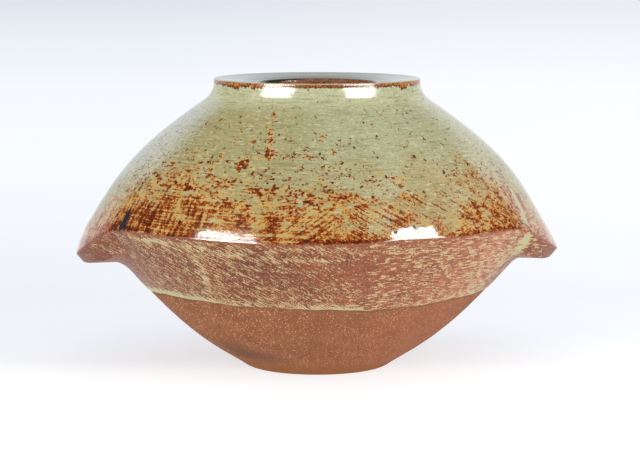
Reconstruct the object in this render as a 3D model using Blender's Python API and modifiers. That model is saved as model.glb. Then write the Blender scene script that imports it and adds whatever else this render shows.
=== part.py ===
"""A hand-thrown stoneware jar, built the way a potter joins one.

Two thrown halves meet at a sharp waist with a tongue in a groove. The neck, with its flange dished
towards the mouth, stands in a stepped seat on the upper half. Two solid lugs are lofted round the
waist: their tops carry on the curve of the upper half, and their undersides sweep back into the bowl.
Metres, +Z up. The foot rests on Z = 0, and the lugs point along X.
"""

from math import asin, cos, pi, radians, sin, sqrt, tan
from typing import NamedTuple

import bmesh
import bpy
from mathutils import Vector
from mathutils.geometry import interpolate_bezier

# Driving sizes of the body
WAIST_RADIUS = 0.1222
WAIST_HEIGHT = 0.0798
JAR_HEIGHT = 0.1550
RIM_RADIUS = 0.0552
FOOT_RADIUS = 0.0334
WALL = 0.0062
FLOOR = 0.0075

# The upper half's outline, from the waist up to the neck
DOME_RISE_ANGLE = radians(59.7)
DOME_LOWER_HANDLE = 0.0297
DOME_UPPER_HANDLE = 0.0444
NECK_SLOPE_ANGLE = radians(34)
NECK_HOLLOW_RADIUS = 0.0115

# The lower half's outline, from the waist down to the foot
BOWL_FALL_ANGLE = radians(53.5)
BOWL_UPPER_HANDLE = 0.0800
BOWL_LOWER_HANDLE = 0.0080
FOOT_RISE_ANGLE = radians(36)
FOOT_KNUCKLE_RADIUS = 0.0120
FOOT_RING_WIDTH = 0.0085
FOOT_RECESS_DEPTH = 0.0016
FOOT_RECESS_SLOPE = 0.0024
FLOOR_CORNER_HANDLE = 0.0120

# The mouth flange and the throat
RIM_LAND = 0.0020
RIM_EDGE_RADIUS = 0.0008
MOUTH_RADIUS = 0.0305
FLANGE_DISH = 0.0023
FLANGE_THICKNESS = 0.0060
LIP_RADIUS = 0.0016
UNDERCUT_HANDLE = 0.0050

# Joints between the pieces
SEAM_GAP = 0.0003
WAIST_SEAM_WIDTH = 0.0080
TONGUE_WIDTH = 0.0036
TONGUE_DEPTH = 0.0018
SEAT_STEP = 0.0030

# The left lug, measured from the waist
LUG_LEFT_SPREAD = radians(31.3)
LUG_LEFT_FULLNESS = 0.61
LUG_LEFT_TIP_DROP = 0.0189
LUG_LEFT_FACE_HEIGHT = 0.0042
LUG_LEFT_TOP_RADIUS = 0.0700
LUG_LEFT_TAPER_SHARE = 0.30
LUG_LEFT_HOLLOW_REACH = 0.0040
LUG_LEFT_HOLLOW_DROP = 0.0050

# The right lug, measured from the waist
LUG_RIGHT_SPREAD = radians(29.5)
LUG_RIGHT_FULLNESS = 0.68
LUG_RIGHT_TIP_DROP = 0.0152
LUG_RIGHT_FACE_HEIGHT = 0.0049
LUG_RIGHT_TOP_RADIUS = 0.1300
LUG_RIGHT_TAPER_SHARE = 0.26
LUG_RIGHT_HOLLOW_REACH = 0.0020
LUG_RIGHT_HOLLOW_DROP = 0.0040

# Both lugs
LUG_EDGE_RADIUS = 0.0018
LUG_TOP_DROP = 0.0006
LUG_END_SHARE = 0.92

# How finely the curves are cut
TURN_STEPS = 72
OUTLINE_POINTS = 13
CORNER_POINTS = 4
LUG_SECTIONS = 17
LUG_TOP_POINTS = 6
LUG_HOLLOW_POINTS = 4
LUG_BACK_POINTS = 8
HALVINGS = 30
SMOOTH_ANGLE = radians(32)
WELD_DISTANCE = 0.00001

# Colour, roughness and metallic value of each finish
GLAZED_BROWN = ((0.30, 0.13, 0.06), 0.45, 0.0)
CELADON = ((0.42, 0.39, 0.21), 0.15, 0.0)
PALE_CELADON = ((0.50, 0.50, 0.38), 0.12, 0.0)
RUST_BROWN = ((0.27, 0.12, 0.07), 0.50, 0.0)

QUARTER_TURN = pi / 2


class Lug(NamedTuple):
    """Shape of one lug: where it sits, how it swells, and the sizes of its middle section."""

    side: float
    spread: float
    fullness: float
    tip_drop: float
    face_height: float
    top_radius: float
    taper_share: float
    hollow_reach: float
    hollow_drop: float


def heading(angle):
    """Unit direction in the radius and height plane, anticlockwise from outwards."""
    return Vector((cos(angle), sin(angle)))


def arc(centre, radius, start, end, count=CORNER_POINTS):
    """Points along an arc, both ends included."""
    angles = [start + (end - start) * step / count for step in range(count + 1)]
    return [centre + heading(angle) * radius for angle in angles]


def inset(outline, distance):
    """The outline moved to its left by a distance, point by point."""
    moved = []
    for index, point in enumerate(outline):
        before = outline[max(index - 1, 0)]
        after = outline[min(index + 1, len(outline) - 1)]
        along = (after - before).normalized()
        moved.append(point + Vector((-along.y, along.x)) * distance)
    return moved


def radius_at(outline, height):
    """Radius of an outline at a height, between the points on both sides of it."""
    ordered = sorted(outline, key=lambda point: point.y)
    for low, high in zip(ordered, ordered[1:]):
        if height <= high.y:
            break
    return low.x + (high.x - low.x) * (height - low.y) / (high.y - low.y)


def neck_hollow_centre():
    """Centre of the hollow curve under the rim."""
    return Vector((RIM_RADIUS + NECK_HOLLOW_RADIUS, JAR_HEIGHT - RIM_LAND))


def neck_foot():
    """Where the neck's hollow curve runs into the upper half's slope."""
    return neck_hollow_centre() + heading(pi + QUARTER_TURN - NECK_SLOPE_ANGLE) * NECK_HOLLOW_RADIUS


def dome_outline():
    """Outside of the upper half, from the neck down to the waist."""
    waist = Vector((WAIST_RADIUS, WAIST_HEIGHT))
    neck = neck_foot()
    neck_handle = neck + heading(-NECK_SLOPE_ANGLE) * DOME_UPPER_HANDLE
    waist_handle = waist + heading(pi - DOME_RISE_ANGLE) * DOME_LOWER_HANDLE
    return interpolate_bezier(neck, neck_handle, waist_handle, waist, OUTLINE_POINTS)


def foot_knuckle():
    """Where the bowl's slope begins to round into the foot."""
    tangent = FOOT_KNUCKLE_RADIUS * tan(FOOT_RISE_ANGLE / 2)
    return Vector((FOOT_RADIUS + tangent, 0)) + heading(FOOT_RISE_ANGLE) * tangent


def bowl_outline():
    """Outside of the lower half, from the waist down to the foot."""
    waist = Vector((WAIST_RADIUS, WAIST_HEIGHT))
    knuckle = foot_knuckle()
    waist_handle = waist + heading(pi + BOWL_FALL_ANGLE) * BOWL_UPPER_HANDLE
    knuckle_handle = knuckle + heading(FOOT_RISE_ANGLE) * BOWL_LOWER_HANDLE
    return interpolate_bezier(waist, waist_handle, knuckle_handle, knuckle, OUTLINE_POINTS)


def waist_seam(level):
    """Inner edge, tongue or groove, and outer edge of the seam at a level, from the inside out."""
    outer = WAIST_RADIUS
    inner = WAIST_RADIUS - WAIST_SEAM_WIDTH
    middle = (outer + inner) / 2
    half = TONGUE_WIDTH / 2
    return [
        Vector((inner, level)),
        Vector((middle - half, level)),
        Vector((middle, level - TONGUE_DEPTH)),
        Vector((middle + half, level)),
        Vector((outer, level)),
    ]


def stepped_seat(gap):
    """Corners of the neck's seat, from the inside out: the inner half of the wall stands higher."""
    neck = neck_foot()
    along = heading(pi - NECK_SLOPE_ANGLE)
    inward = heading(-NECK_SLOPE_ANGLE - QUARTER_TURN)
    middle = neck + inward * (WALL / 2)
    return [
        neck + inward * WALL + along * (SEAT_STEP + gap),
        middle + along * (SEAT_STEP + gap) - inward * gap,
        middle + along * gap - inward * gap,
        neck + along * gap,
    ]


def bowl_profile():
    """Half section of the lower bowl, from the floor's centre round the wall to the recess's centre."""
    outside = bowl_outline()
    inside = [point for point in inset(outside, -WALL) if point.y > FLOOR + FLOOR_CORNER_HANDLE / 2]
    inside = [point for point in inside if point.y < WAIST_HEIGHT - WALL]
    slope = (inside[-1] - inside[-2]).normalized()
    corner = inside[-1] + slope * ((inside[-1].y - FLOOR) / -slope.y)
    corner_start = corner - Vector((FLOOR_CORNER_HANDLE, 0))
    floor_curve = interpolate_bezier(corner_start, corner, corner, inside[-1], CORNER_POINTS + 1)
    knuckle_centre = Vector((FOOT_RADIUS, FOOT_KNUCKLE_RADIUS))
    knuckle = arc(
        knuckle_centre, FOOT_KNUCKLE_RADIUS, FOOT_RISE_ANGLE - QUARTER_TURN, -QUARTER_TURN
    )
    ring_inside = FOOT_RADIUS - FOOT_RING_WIDTH
    recess = [
        Vector((ring_inside, 0)),
        Vector((ring_inside - FOOT_RECESS_SLOPE, FOOT_RECESS_DEPTH)),
        Vector((0, FOOT_RECESS_DEPTH)),
    ]
    profile = [Vector((0, FLOOR))] + floor_curve[:-1] + inside[::-1]
    return profile + waist_seam(WAIST_HEIGHT) + outside[1:-1] + knuckle + recess


def dome_profile():
    """Closed half section of the upper dome, down its outside and up its inside."""
    outside = dome_outline()
    seam = waist_seam(WAIST_HEIGHT + SEAM_GAP)
    seam[-1].x = radius_at(outside, WAIST_HEIGHT + SEAM_GAP)
    inside = [point for point in inset(outside, -WALL)[1:] if point.y > WAIST_HEIGHT + WALL / 2]
    return outside[:-1] + seam[::-1] + inside[::-1] + stepped_seat(0)[:-1]


def collar_profile():
    """Closed half section of the neck, flange and throat, down the outside and back inside."""
    centre = neck_hollow_centre()
    neck_end = pi + QUARTER_TURN - NECK_SLOPE_ANGLE
    hollow = arc(centre, NECK_HOLLOW_RADIUS, pi, neck_end, CORNER_POINTS * 2)
    seat = stepped_seat(SEAM_GAP)[::-1]
    under_level = JAR_HEIGHT - FLANGE_DISH - FLANGE_THICKNESS
    inner_radius = NECK_HOLLOW_RADIUS + WALL
    inner_turn = asin((centre.y - under_level) / inner_radius)
    under_corner = Vector((centre.x - inner_radius * cos(inner_turn), under_level))
    under_edge = under_corner - Vector((UNDERCUT_HANDLE, 0))
    undercut = interpolate_bezier(
        seat[-1], under_corner, under_corner, under_edge, CORNER_POINTS * 2
    )
    throat = Vector((MOUTH_RADIUS, under_level))
    lip_centre = Vector((MOUTH_RADIUS + LIP_RADIUS, JAR_HEIGHT - FLANGE_DISH - LIP_RADIUS))
    lip = arc(lip_centre, LIP_RADIUS, pi, QUARTER_TURN)
    edge_centre = Vector((RIM_RADIUS - RIM_EDGE_RADIUS, JAR_HEIGHT - RIM_EDGE_RADIUS))
    edge = arc(edge_centre, RIM_EDGE_RADIUS, QUARTER_TURN, 0, CORNER_POINTS - 1)
    return edge + hollow[:-1] + seat + undercut[1:] + [throat] + lip


def finish(name, colour, roughness, metallic):
    """Material with one colour, roughness and metallic value."""
    material = bpy.data.materials.new(name)
    material.use_nodes = True
    shader = material.node_tree.nodes["Principled BSDF"]
    shader.inputs["Base Color"].default_value = (*colour, 1)
    shader.inputs["Roughness"].default_value = roughness
    shader.inputs["Metallic"].default_value = metallic
    return material


def add_piece(name, mesh, material, collection):
    """Puts a finished mesh in the scene as one named piece, smooth but for its edges."""
    mesh.materials.append(material)
    mesh.shade_smooth()
    mesh.set_sharp_from_angle(angle=SMOOTH_ANGLE)
    piece = bpy.data.objects.new(name, mesh)
    collection.objects.link(piece)
    return piece


def turned(name, profile, closed, material, collection):
    """A piece turned round the Z axis from half a section, as on the wheel."""
    outline = bpy.data.meshes.new(name + "_profile")
    edges = [(index, index + 1) for index in range(len(profile) - 1)]
    if closed:
        edges.append((len(profile) - 1, 0))
    outline.from_pydata([(point.x, 0, point.y) for point in profile], edges, [])
    guide = bpy.data.objects.new(name + "_profile", outline)
    bpy.context.scene.collection.objects.link(guide)
    screw = guide.modifiers.new("Turn", "SCREW")
    screw.axis = "Z"
    screw.steps = TURN_STEPS
    screw.render_steps = TURN_STEPS
    screw.use_merge_vertices = True
    screw.merge_threshold = WELD_DISTANCE
    bpy.context.view_layer.update()
    graph = bpy.context.evaluated_depsgraph_get()
    mesh = bpy.data.meshes.new_from_object(guide.evaluated_get(graph))
    mesh.name = name
    bpy.data.objects.remove(guide)
    return add_piece(name, mesh, material, collection)


def lug_top_radius(lug, height):
    """Radius of the lug's top at a height: the upper half's curve, carried on below the waist."""
    waist = Vector((WAIST_RADIUS, WAIST_HEIGHT))
    centre = waist - heading(QUARTER_TURN - DOME_RISE_ANGLE) * lug.top_radius
    return centre.x + lug.top_radius * cos(asin((height - centre.y) / lug.top_radius))


def crest_height(lug, bowl, projection):
    """Height at which the lug's top stands out from the bowl by this projection."""
    low = WAIST_HEIGHT - lug.tip_drop * 2
    high = WAIST_HEIGHT
    for _ in range(HALVINGS):
        middle = (low + high) / 2
        if lug_top_radius(lug, middle) - radius_at(bowl, middle) > projection:
            low = middle
        else:
            high = middle
    return high


def lug_underside(lug, floor, reach):
    """Height of the lug's underside at a distance from the bowl, with its hollow where they meet."""
    rise = 1 - min(reach / lug.hollow_reach, 1)
    return floor - lug.hollow_drop * (1 - sqrt(1 - rise * rise))


def lug_section(lug, bowl, projection, swell):
    """Closed section of a lug: down its top, over the crest, down the face, under and up the bowl."""
    crest = crest_height(lug, bowl, projection)
    floor = WAIST_HEIGHT - (lug.tip_drop + lug.face_height) * swell**lug.taper_share
    top_start = WAIST_HEIGHT - LUG_TOP_DROP
    section = []
    for step in range(LUG_TOP_POINTS):
        height = top_start + (crest - top_start) * step / LUG_TOP_POINTS
        section.append(Vector((lug_top_radius(lug, height), height)))
    edge = min(LUG_EDGE_RADIUS, projection / 2)
    corner = lug_underside(lug, floor, projection) + edge
    for height in (crest, corner):
        section.append(Vector((radius_at(bowl, height) + projection, height)))
    for angle in (-QUARTER_TURN / 2, -QUARTER_TURN):
        height = corner + edge * sin(angle)
        reach = projection - edge + edge * cos(angle)
        section.append(Vector((radius_at(bowl, height) + reach, height)))
    hollow = min(lug.hollow_reach, projection - edge) - SEAM_GAP
    for step in range(1, LUG_HOLLOW_POINTS + 1):
        reach = SEAM_GAP + hollow * (1 - sin(QUARTER_TURN * step / LUG_HOLLOW_POINTS))
        height = lug_underside(lug, floor, reach)
        section.append(Vector((radius_at(bowl, height) + reach, height)))
    back_start = section[-1].y
    for step in range(1, LUG_BACK_POINTS + 1):
        height = back_start + (top_start - back_start) * step / LUG_BACK_POINTS
        section.append(Vector((radius_at(bowl, height) + SEAM_GAP, height)))
    return section


def lofted_lug(name, lug, material, collection):
    """A lug lofted round the waist, full at its middle and thin where it runs into the ridge."""
    bowl = bowl_outline()
    tip = WAIST_HEIGHT - lug.tip_drop
    longest = lug_top_radius(lug, tip) - radius_at(bowl, tip)
    form = bmesh.new()
    loops = []
    for step in range(LUG_SECTIONS):
        share = LUG_END_SHARE * (2 * step / (LUG_SECTIONS - 1) - 1)
        swell = cos(QUARTER_TURN * share) ** (2 * lug.fullness)
        turn = lug.side + lug.spread * share
        loop = []
        for point in lug_section(lug, bowl, longest * swell, swell):
            loop.append(form.verts.new((point.x * cos(turn), point.x * sin(turn), point.y)))
        loops.append(loop)
    for near, far in zip(loops, loops[1:]):
        for index in range(len(near)):
            form.faces.new((near[index - 1], near[index], far[index], far[index - 1]))
    form.faces.new(loops[0][::-1])
    form.faces.new(loops[-1])
    bmesh.ops.recalc_face_normals(form, faces=form.faces)
    mesh = bpy.data.meshes.new(name)
    form.to_mesh(mesh)
    form.free()
    return add_piece(name, mesh, material, collection)


def left_lug():
    """The broad lug."""
    return Lug(
        side=pi,
        spread=LUG_LEFT_SPREAD,
        fullness=LUG_LEFT_FULLNESS,
        tip_drop=LUG_LEFT_TIP_DROP,
        face_height=LUG_LEFT_FACE_HEIGHT,
        top_radius=LUG_LEFT_TOP_RADIUS,
        taper_share=LUG_LEFT_TAPER_SHARE,
        hollow_reach=LUG_LEFT_HOLLOW_REACH,
        hollow_drop=LUG_LEFT_HOLLOW_DROP,
    )


def right_lug():
    """The slightly narrower lug."""
    return Lug(
        side=0,
        spread=LUG_RIGHT_SPREAD,
        fullness=LUG_RIGHT_FULLNESS,
        tip_drop=LUG_RIGHT_TIP_DROP,
        face_height=LUG_RIGHT_FACE_HEIGHT,
        top_radius=LUG_RIGHT_TOP_RADIUS,
        taper_share=LUG_RIGHT_TAPER_SHARE,
        hollow_reach=LUG_RIGHT_HOLLOW_REACH,
        hollow_drop=LUG_RIGHT_HOLLOW_DROP,
    )


def build():
    """Clears the scene and makes the five pieces of the jar."""
    for item in list(bpy.data.objects):
        bpy.data.objects.remove(item)
    jar = bpy.data.collections.new("stoneware_jar")
    bpy.context.scene.collection.children.link(jar)
    brown = finish("glazed_brown", *GLAZED_BROWN)
    celadon = finish("celadon", *CELADON)
    pale = finish("pale_celadon", *PALE_CELADON)
    rust = finish("rust_brown", *RUST_BROWN)
    turned("lower_bowl", bowl_profile(), False, brown, jar)
    turned("upper_dome", dome_profile(), True, celadon, jar)
    turned("mouth_collar", collar_profile(), True, pale, jar)
    lofted_lug("lug_left", left_lug(), rust, jar)
    lofted_lug("lug_right", right_lug(), rust, jar)


build()
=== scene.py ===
"""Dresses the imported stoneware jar: a thick celadon over iron slip, a brushed lower glaze and bare clay.

Every piece is a grid of rings round the jar's axis. One outer skin is worked out for the whole jar and
then shared out to the bowl, the dome, the mouth and the two lugs, so that they meet without a seam.
Metres, +Z up. The lugs point along X, and the front faces -Y.
"""

from math import asin, cos, pi, radians, sin, tan
from typing import NamedTuple

import bpy
import numpy as np
from bpy.props import FloatProperty, FloatVectorProperty, PointerProperty
from bpy.types import Operator, Panel, PropertyGroup
from bpy.utils import register_class, unregister_class
from mathutils import Matrix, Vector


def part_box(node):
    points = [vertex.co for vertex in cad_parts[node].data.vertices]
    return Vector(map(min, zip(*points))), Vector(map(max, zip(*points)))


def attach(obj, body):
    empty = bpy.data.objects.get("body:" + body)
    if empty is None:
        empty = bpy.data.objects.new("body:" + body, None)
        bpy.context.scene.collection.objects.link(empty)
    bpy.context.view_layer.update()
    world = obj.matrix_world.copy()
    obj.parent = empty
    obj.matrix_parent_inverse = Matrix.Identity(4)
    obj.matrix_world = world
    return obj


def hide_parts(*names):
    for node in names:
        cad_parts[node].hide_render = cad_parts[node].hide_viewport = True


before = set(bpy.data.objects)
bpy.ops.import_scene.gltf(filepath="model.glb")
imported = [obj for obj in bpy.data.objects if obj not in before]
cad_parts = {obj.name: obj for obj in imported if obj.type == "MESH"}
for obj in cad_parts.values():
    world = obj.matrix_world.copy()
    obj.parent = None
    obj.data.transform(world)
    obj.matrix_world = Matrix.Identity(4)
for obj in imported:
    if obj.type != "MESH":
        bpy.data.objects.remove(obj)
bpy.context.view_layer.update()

bl_info = {
    "name": "Stoneware Jar",
    "version": (1, 0, 0),
    "blender": (4, 5, 0),
    "location": "View3D > Sidebar > Jar",
    "description": "Makes a lidless lugged stoneware jar with its glazes and a small studio",
    "category": "Add Mesh",
}

QUARTER_TURN = pi / 2
FULL_TURN = 2 * pi

# Outline of the dome and the neck
DOME_RISE_ANGLE = radians(59.7)
DOME_LOWER_HANDLE = 0.0297
DOME_UPPER_HANDLE = 0.0444
NECK_SLOPE_ANGLE = radians(34)
NECK_HOLLOW_RADIUS = 0.0115

# Outline of the bowl and the foot
BOWL_FALL_ANGLE = radians(53.5)
BOWL_UPPER_HANDLE = 0.0800
BOWL_LOWER_HANDLE = 0.0080
FOOT_RISE_ANGLE = radians(36)
FOOT_KNUCKLE_RADIUS = 0.0120
FOOT_RING_WIDTH = 0.0085
FOOT_RECESS_DEPTH = 0.0016
FOOT_RECESS_SLOPE = 0.0024

# Mouth flange and throat
RIM_LAND = 0.0020
RIM_EDGE_RADIUS = 0.0008
FLANGE_DISH = 0.0023
FLANGE_THICKNESS = 0.0060
LIP_RADIUS = 0.0016
UNDERCUT_REACH = 0.0050
FLOOR_HEIGHT = 0.0075
FLOOR_CORNER = 0.0120

# Lugs, and the plain body behind them
LUG_BLUR = radians(1.1)
LUG_BLUR_STEPS = np.arange(-5, 6)
PATCH_RISE = 0.0050
LUG_SINK = 0.0006
CREST_SEARCH_DEPTH = 0.004
BODY_SINK = 0.0012

# How far the ridge rises above its plane round the jar, as degrees and metres
RIDGE_RISE = (
    (-180, -0.0004), (-165, 0.0001), (-148, 0.0008), (-137, 0.0015), (-122, 0.0014), (-111, 0.0008),
    (-98, 0.0002), (-82, 0.0003), (-77, 0.0008), (-70, 0.0020), (-54, 0.0018), (-40, 0.0021),
    (-35, 0.0018), (-28, 0.0004), (-22, -0.0006), (-12, -0.0011), (0, -0.0009), (40, 0.0010),
    (90, 0.0002), (140, 0.0008),
)
RIDGE_RISE_SPREAD = 0.022

# Height over the ridge at which the iron thins out, as degrees and metres
IRON_EDGE = (
    (-180, 0.026), (-150, 0.025), (-120, 0.028), (-95, 0.027), (-75, 0.020), (-60, 0.010),
    (-45, 0.018), (-25, 0.026), (0, 0.024), (30, 0.014), (60, 0.022), (90, 0.028), (120, 0.016),
    (150, 0.024),
)

# Strength of other marks round the jar, as degrees and amount
BARS = ((-180, 0.7), (-150, 1), (-119, 1), (-108, 0.5), (-96, 0.2), (-40, 0.4), (0, 0.7), (90, 0.8))
# ROWS also turns the dome's left to a darker olive, partly painted shade on its less lit side.
ROWS = (
    (-180, 0.1), (-156, 0.2), (-138, 1), (-112, 1), (-98, 0.8), (-84, 0.2), (-60, 0.1), (0, 0.3),
    (90, 0.8),
)
RIM_DROPS = (
    (-180, 0.2), (-150, 0.4), (-135, 1), (-115, 0.9), (-108, 0.1), (-68, 0), (-62, 0.7), (-40, 1),
    (0, 0.3), (95, 0.2), (135, 0.9), (165, 1),
)
BRUSHED = ((-180, 1), (-84, 1), (-74, 0), (0, 0), (20, 1), (120, 0.2))
PALE_POOLS = (
    (-150, 1.0), (-132, 0.7), (-116, 0.4), (-104, 0.1), (-92, 0.6), (-78, 0.5), (-70, 0.1),
    (-30, 0.3),
)
# Pinker and lighter toward the jar's right edge: partly the glaze's and the clay's own pink, partly
# painted sheen.
PINK_AND_SHEEN = ((-180, 0.1), (-110, 0), (-60, 0.55), (-36, 1), (-22, 0.15), (0, 0), (90, 0.4))

# Soft spots on the jar, as degrees, height, width in degrees, tallness and amount
IRON_SPOTS = (
    (-105.2, 0.1215, 1.2, 0.0022, 0.80),
    (-106.4, 0.1265, 1.0, 0.0035, 0.66),
    (-108.0, 0.1325, 1.0, 0.0036, 0.62),
    (-109.8, 0.1390, 1.0, 0.0040, 0.60),
    (-113.8, 0.1148, 1.1, 0.0034, 0.66),
    (-112.6, 0.1195, 1.7, 0.0014, 0.56),
    (-114, 0.1267, 1.2, 0.0012, 0.60),
    (-121.5, 0.1198, 1.0, 0.0016, 0.50),
    (-88, 0.1297, 1.7, 0.0011, 0.60),
    (-92, 0.1201, 0.9, 0.0010, 0.60),
    (-84.5, 0.1229, 0.8, 0.0012, 0.50),
    (-98, 0.1383, 1.5, 0.0007, 0.60),
    (-139.5, 0.1146, 1.4, 0.0014, 0.45),
    (-100, 0.1190, 3.0, 0.0030, 0.16),
    (-121, 0.0915, 1.5, 0.0055, 0.26),
    (-108.5, 0.0945, 1.3, 0.0055, 0.26),
    (-130, 0.0995, 9.0, 0.0008, 0.26),
    (-136, 0.0880, 15, 0.0090, 0.24),
    (-132, 0.1090, 13, 0.0080, 0.27),
    (-55, 0.1010, 9, 0.0090, 0.05),
    (-60, 0.1160, 12, 0.0070, 0.10),
    (-58, 0.1198, 1.5, 0.0014, 0.50),
    (-66.5, 0.1090, 3.0, 0.0026, 0.42),
    (-64, 0.1015, 3.6, 0.0022, 0.40),
    (-82, 0.0818, 11, 0.0014, 0.32),
    (-82, 0.1010, 4, 0.0030, 0.22),
    (-77, 0.0880, 8, 0.0055, -0.20),
    (-63, 0.0860, 8, 0.0050, -0.10),
    (-40, 0.1080, 6, 0.0050, 0.18),
    (-31, 0.1050, 1.8, 0.0030, 0.30),
    (-57, 0.0880, 7, 0.0055, -0.08),
    (-172, 0.0960, 17, 0.0150, -0.27),
    (-9, 0.0940, 12, 0.0130, -0.20),
)
LEFT_STROKES = (
    (-91, 0.0890, 9, 0.0090, 1.1),
    (-104, 0.0860, 6, 0.0060, 0.6),
)
RIGHT_STROKES = (
    (-76, 0.0900, 8, 0.0100, 1.1),
    (-58, 0.0980, 14, 0.0140, 0.9),
    (-28, 0.0900, 12, 0.0140, 0.5),
)
POOL = (
    (-23, 0.0975, 1.0, 0.0050, 1),
    (-24, 0.0920, 1.4, 0.0050, 1),
    (-25.5, 0.0845, 1.7, 0.0040, 1.1),
)
DRIP = (
    (-146.0, 0.0895, 0.9, 0.0022, 1),
    (-145.4, 0.0865, 1.1, 0.0026, 1.2),
    (-145.2, 0.0830, 1.3, 0.0018, 1.2),
    (-146.0, 0.0796, 1.3, 0.0022, 0.9),
)
PALE_SPOTS = (
    (-135, 0.0774, 9, 0.0012, 0.50),
    (-120, 0.0745, 4, 0.0030, 0.30),
    (-110, 0.0742, 5, 0.0024, 0.26),
    (-97, 0.0716, 11, 0.0007, 0.50),
    (-62, 0.0744, 11, 0.0010, 0.46),
    (-79, 0.0670, 5, 0.0050, -0.26),
    (-122.5, 0.0590, 1.6, 0.0090, 0.30),
    (-32, 0.0500, 8, 0.0050, 0.20),
    (-26, 0.0765, 1.6, 0.0035, 0.55),
    (-25, 0.0700, 1.9, 0.0050, 0.55),
    (-180, 0.0660, 28, 0.0140, -0.38),
    (-8, 0.0720, 9, 0.0080, -0.16),
    (0, 0.0660, 17, 0.0140, -0.38),
    (-92, 0.0620, 12, 0.0090, -0.14),
    (-42, 0.0650, 10, 0.0100, 0.10),
    (-29, 0.0640, 9, 0.0110, 0.20),
    (-110, 0.0620, 9, 0.0100, -0.05),
)
# Darker grey brown patches low on the bowl, mostly at the left.
GREY_BROWN_PATCHES = (
    (-134, 0.0130, 14, 0.0056, 1),
    (-118, 0.0110, 9, 0.0040, 0.5),
    (-95, 0.0200, 14, 0.0080, 0.3),
    (-75, 0.0380, 4, 0.0050, 0.4),
)

# Larger dark spots of the dome, as degrees, height and size
DARK_SPOTS = (
    (-70.5, 0.1360, 0.0011), (-67.5, 0.1297, 0.0012), (-53, 0.1300, 0.0011),
    (-37.5, 0.1262, 0.0010), (-57.5, 0.1196, 0.0017), (-42, 0.1247, 0.0009),
    (-70.5, 0.1200, 0.0009), (-68.5, 0.0941, 0.0014), (-51, 0.0904, 0.0012), (-42, 0.1163, 0.0010),
    (-50, 0.1112, 0.0011), (-23.5, 0.1083, 0.0011), (-89, 0.1220, 0.0011), (-97.5, 0.1223, 0.0010),
    (-134.5, 0.1332, 0.0010), (-122.5, 0.1235, 0.0010), (-155.5, 0.1290, 0.0011),
    (-162, 0.1003, 0.0012), (-106, 0.1120, 0.0009), (-112, 0.1150, 0.0012),
    (-106.2, 0.1208, 0.0015), (-32.5, 0.0968, 0.0013), (-71, 0.0850, 0.0012), (-66, 0.0869, 0.0012),
    (-71.5, 0.0906, 0.0012),
)

# Fineness of the rings
COLUMNS = 540
CURVE_POINTS = 160
FINE_POINTS = 200
SAMPLE_STEP = 0.0002
INSIDE_DOME_RINGS = 24
INSIDE_BOWL_RINGS = 26
INSIDE_RING_STEP = 0.0020

# Rounding of the corners, the glaze's bead and the throwing rings
SOFTENING = 0.00035
SOFTENING_TAPS = 12
BLEND_LENGTH = 0.0030
BEAD_WIDTH = 0.0006
BEAD_END = 0.0022
BEAD_SWELL = 0.35
THROWING_RING_SPACING = 0.0105

# Hidden rings at the waist
SEAM_HALF_GAP = 0.00015
SEAM_CLEARANCE = 0.001
WAIST_RING_INSET = 0.0022
INNER_WAIST_REACH = 0.0006

# Patterns
PATTERN_RADIUS = 0.1100
THROAT_REACH = 0.0270
BAR_COUNT = 197.0

# Parts of the outside's section, from the throat down, by the mark at which each ends
SECTION_PARTS = (
    "lip", "flange", "rim", "land", "neck", "waist", "crest", "face", "underside", "patch_foot",
    "knuckle", "contact", "ring", "recess", "middle",
)

# Rings between one mark of the outside and the next, from the throat down to the foot's middle
OUTSIDE_MARKS = (
    ("throat", 0), ("lip", 10), ("flange", 20), ("rim", 6), ("land", 5), ("neck", 16),
    ("patch_top", 78), ("crest", 26), ("patch_foot", 40), ("coat_above", 22), ("coat_line", 9),
    ("coat_below", 4), ("knuckle", 40), ("contact", 10), ("ring", 6), ("recess", 4), ("middle", 6),
)
COAT_ZONE_ABOVE = 0.0024
COAT_ZONE_BELOW = 0.0008

# Texture widths of a lug's grid and of its two ends beside it
GRID_SHARE = 0.98
CAP_PLACES = (0.984, 0.994)
CAP_WIDTH = 0.006

# Camera, in degrees, metres and millimetres of lens
CAMERA_PITCH = radians(6.8)
CAMERA_DISTANCE = 1.3198
CAMERA_SIDE = 0.0016
CAMERA_AIM_HEIGHT = 0.0748
CAMERA_LENS = 137.8
SENSOR_WIDTH = 36

# Soft boxes, as name, degrees round the jar, width, tallness, height, roll in degrees and energy
SOFT_BOXES = (
    ("left", -46, 0.68, 1.12, 0.62, 13, 1.2),
    ("right", 50.5, 0.68, 1.08, 0.66, -11, 4.4),
)
SOFT_BOX_DISTANCE = 1.05
GLOSS_ENERGY = 56.0

# Paper under and behind the jar, which bends up into a wall
PAPER_FRONT = -3.0
PAPER_BEND = 1.5
PAPER_BEND_STEPS = 16
PAPER_HALF_WIDTH = 3.0
PAPER_TOP = 2.5

# Brightness of the paper from front to back, as place and screen colours at the left and the right. Just
# behind the jar it dims as a painted soft shadow, and the left is greyer as painted shade.
PAPER_TONES = (
    (0.010, (1, 1, 1), (1, 1, 1)),
    (0.024, (0.950, 0.948, 0.962), (0.977, 0.974, 0.979)),
    (0.060, (0.908, 0.918, 0.942), (0.970, 0.984, 1.0)),
    (0.120, (0.896, 0.898, 0.920), (0.952, 0.954, 0.970)),
    (0.300, (0.934, 0.945, 0.966), (0.979, 0.977, 0.984)),
    (0.540, (0.970, 0.968, 0.981), (0.991, 0.985, 0.985)),
    (0.750, (0.945, 0.950, 0.975), (0.978, 0.975, 0.982)),
    (0.820, (0.892, 0.908, 0.930), (0.938, 0.932, 0.947)),
    (0.870, (0.815, 0.820, 0.860), (0.879, 0.874, 0.903)),
)


class Lug(NamedTuple):
    """Shape of one lug, measured from the waist."""

    side: float
    spread: float
    fullness: float
    face: float
    top_radius: float
    taper_share: float
    hollow_reach: float
    hollow_drop: float


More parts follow.
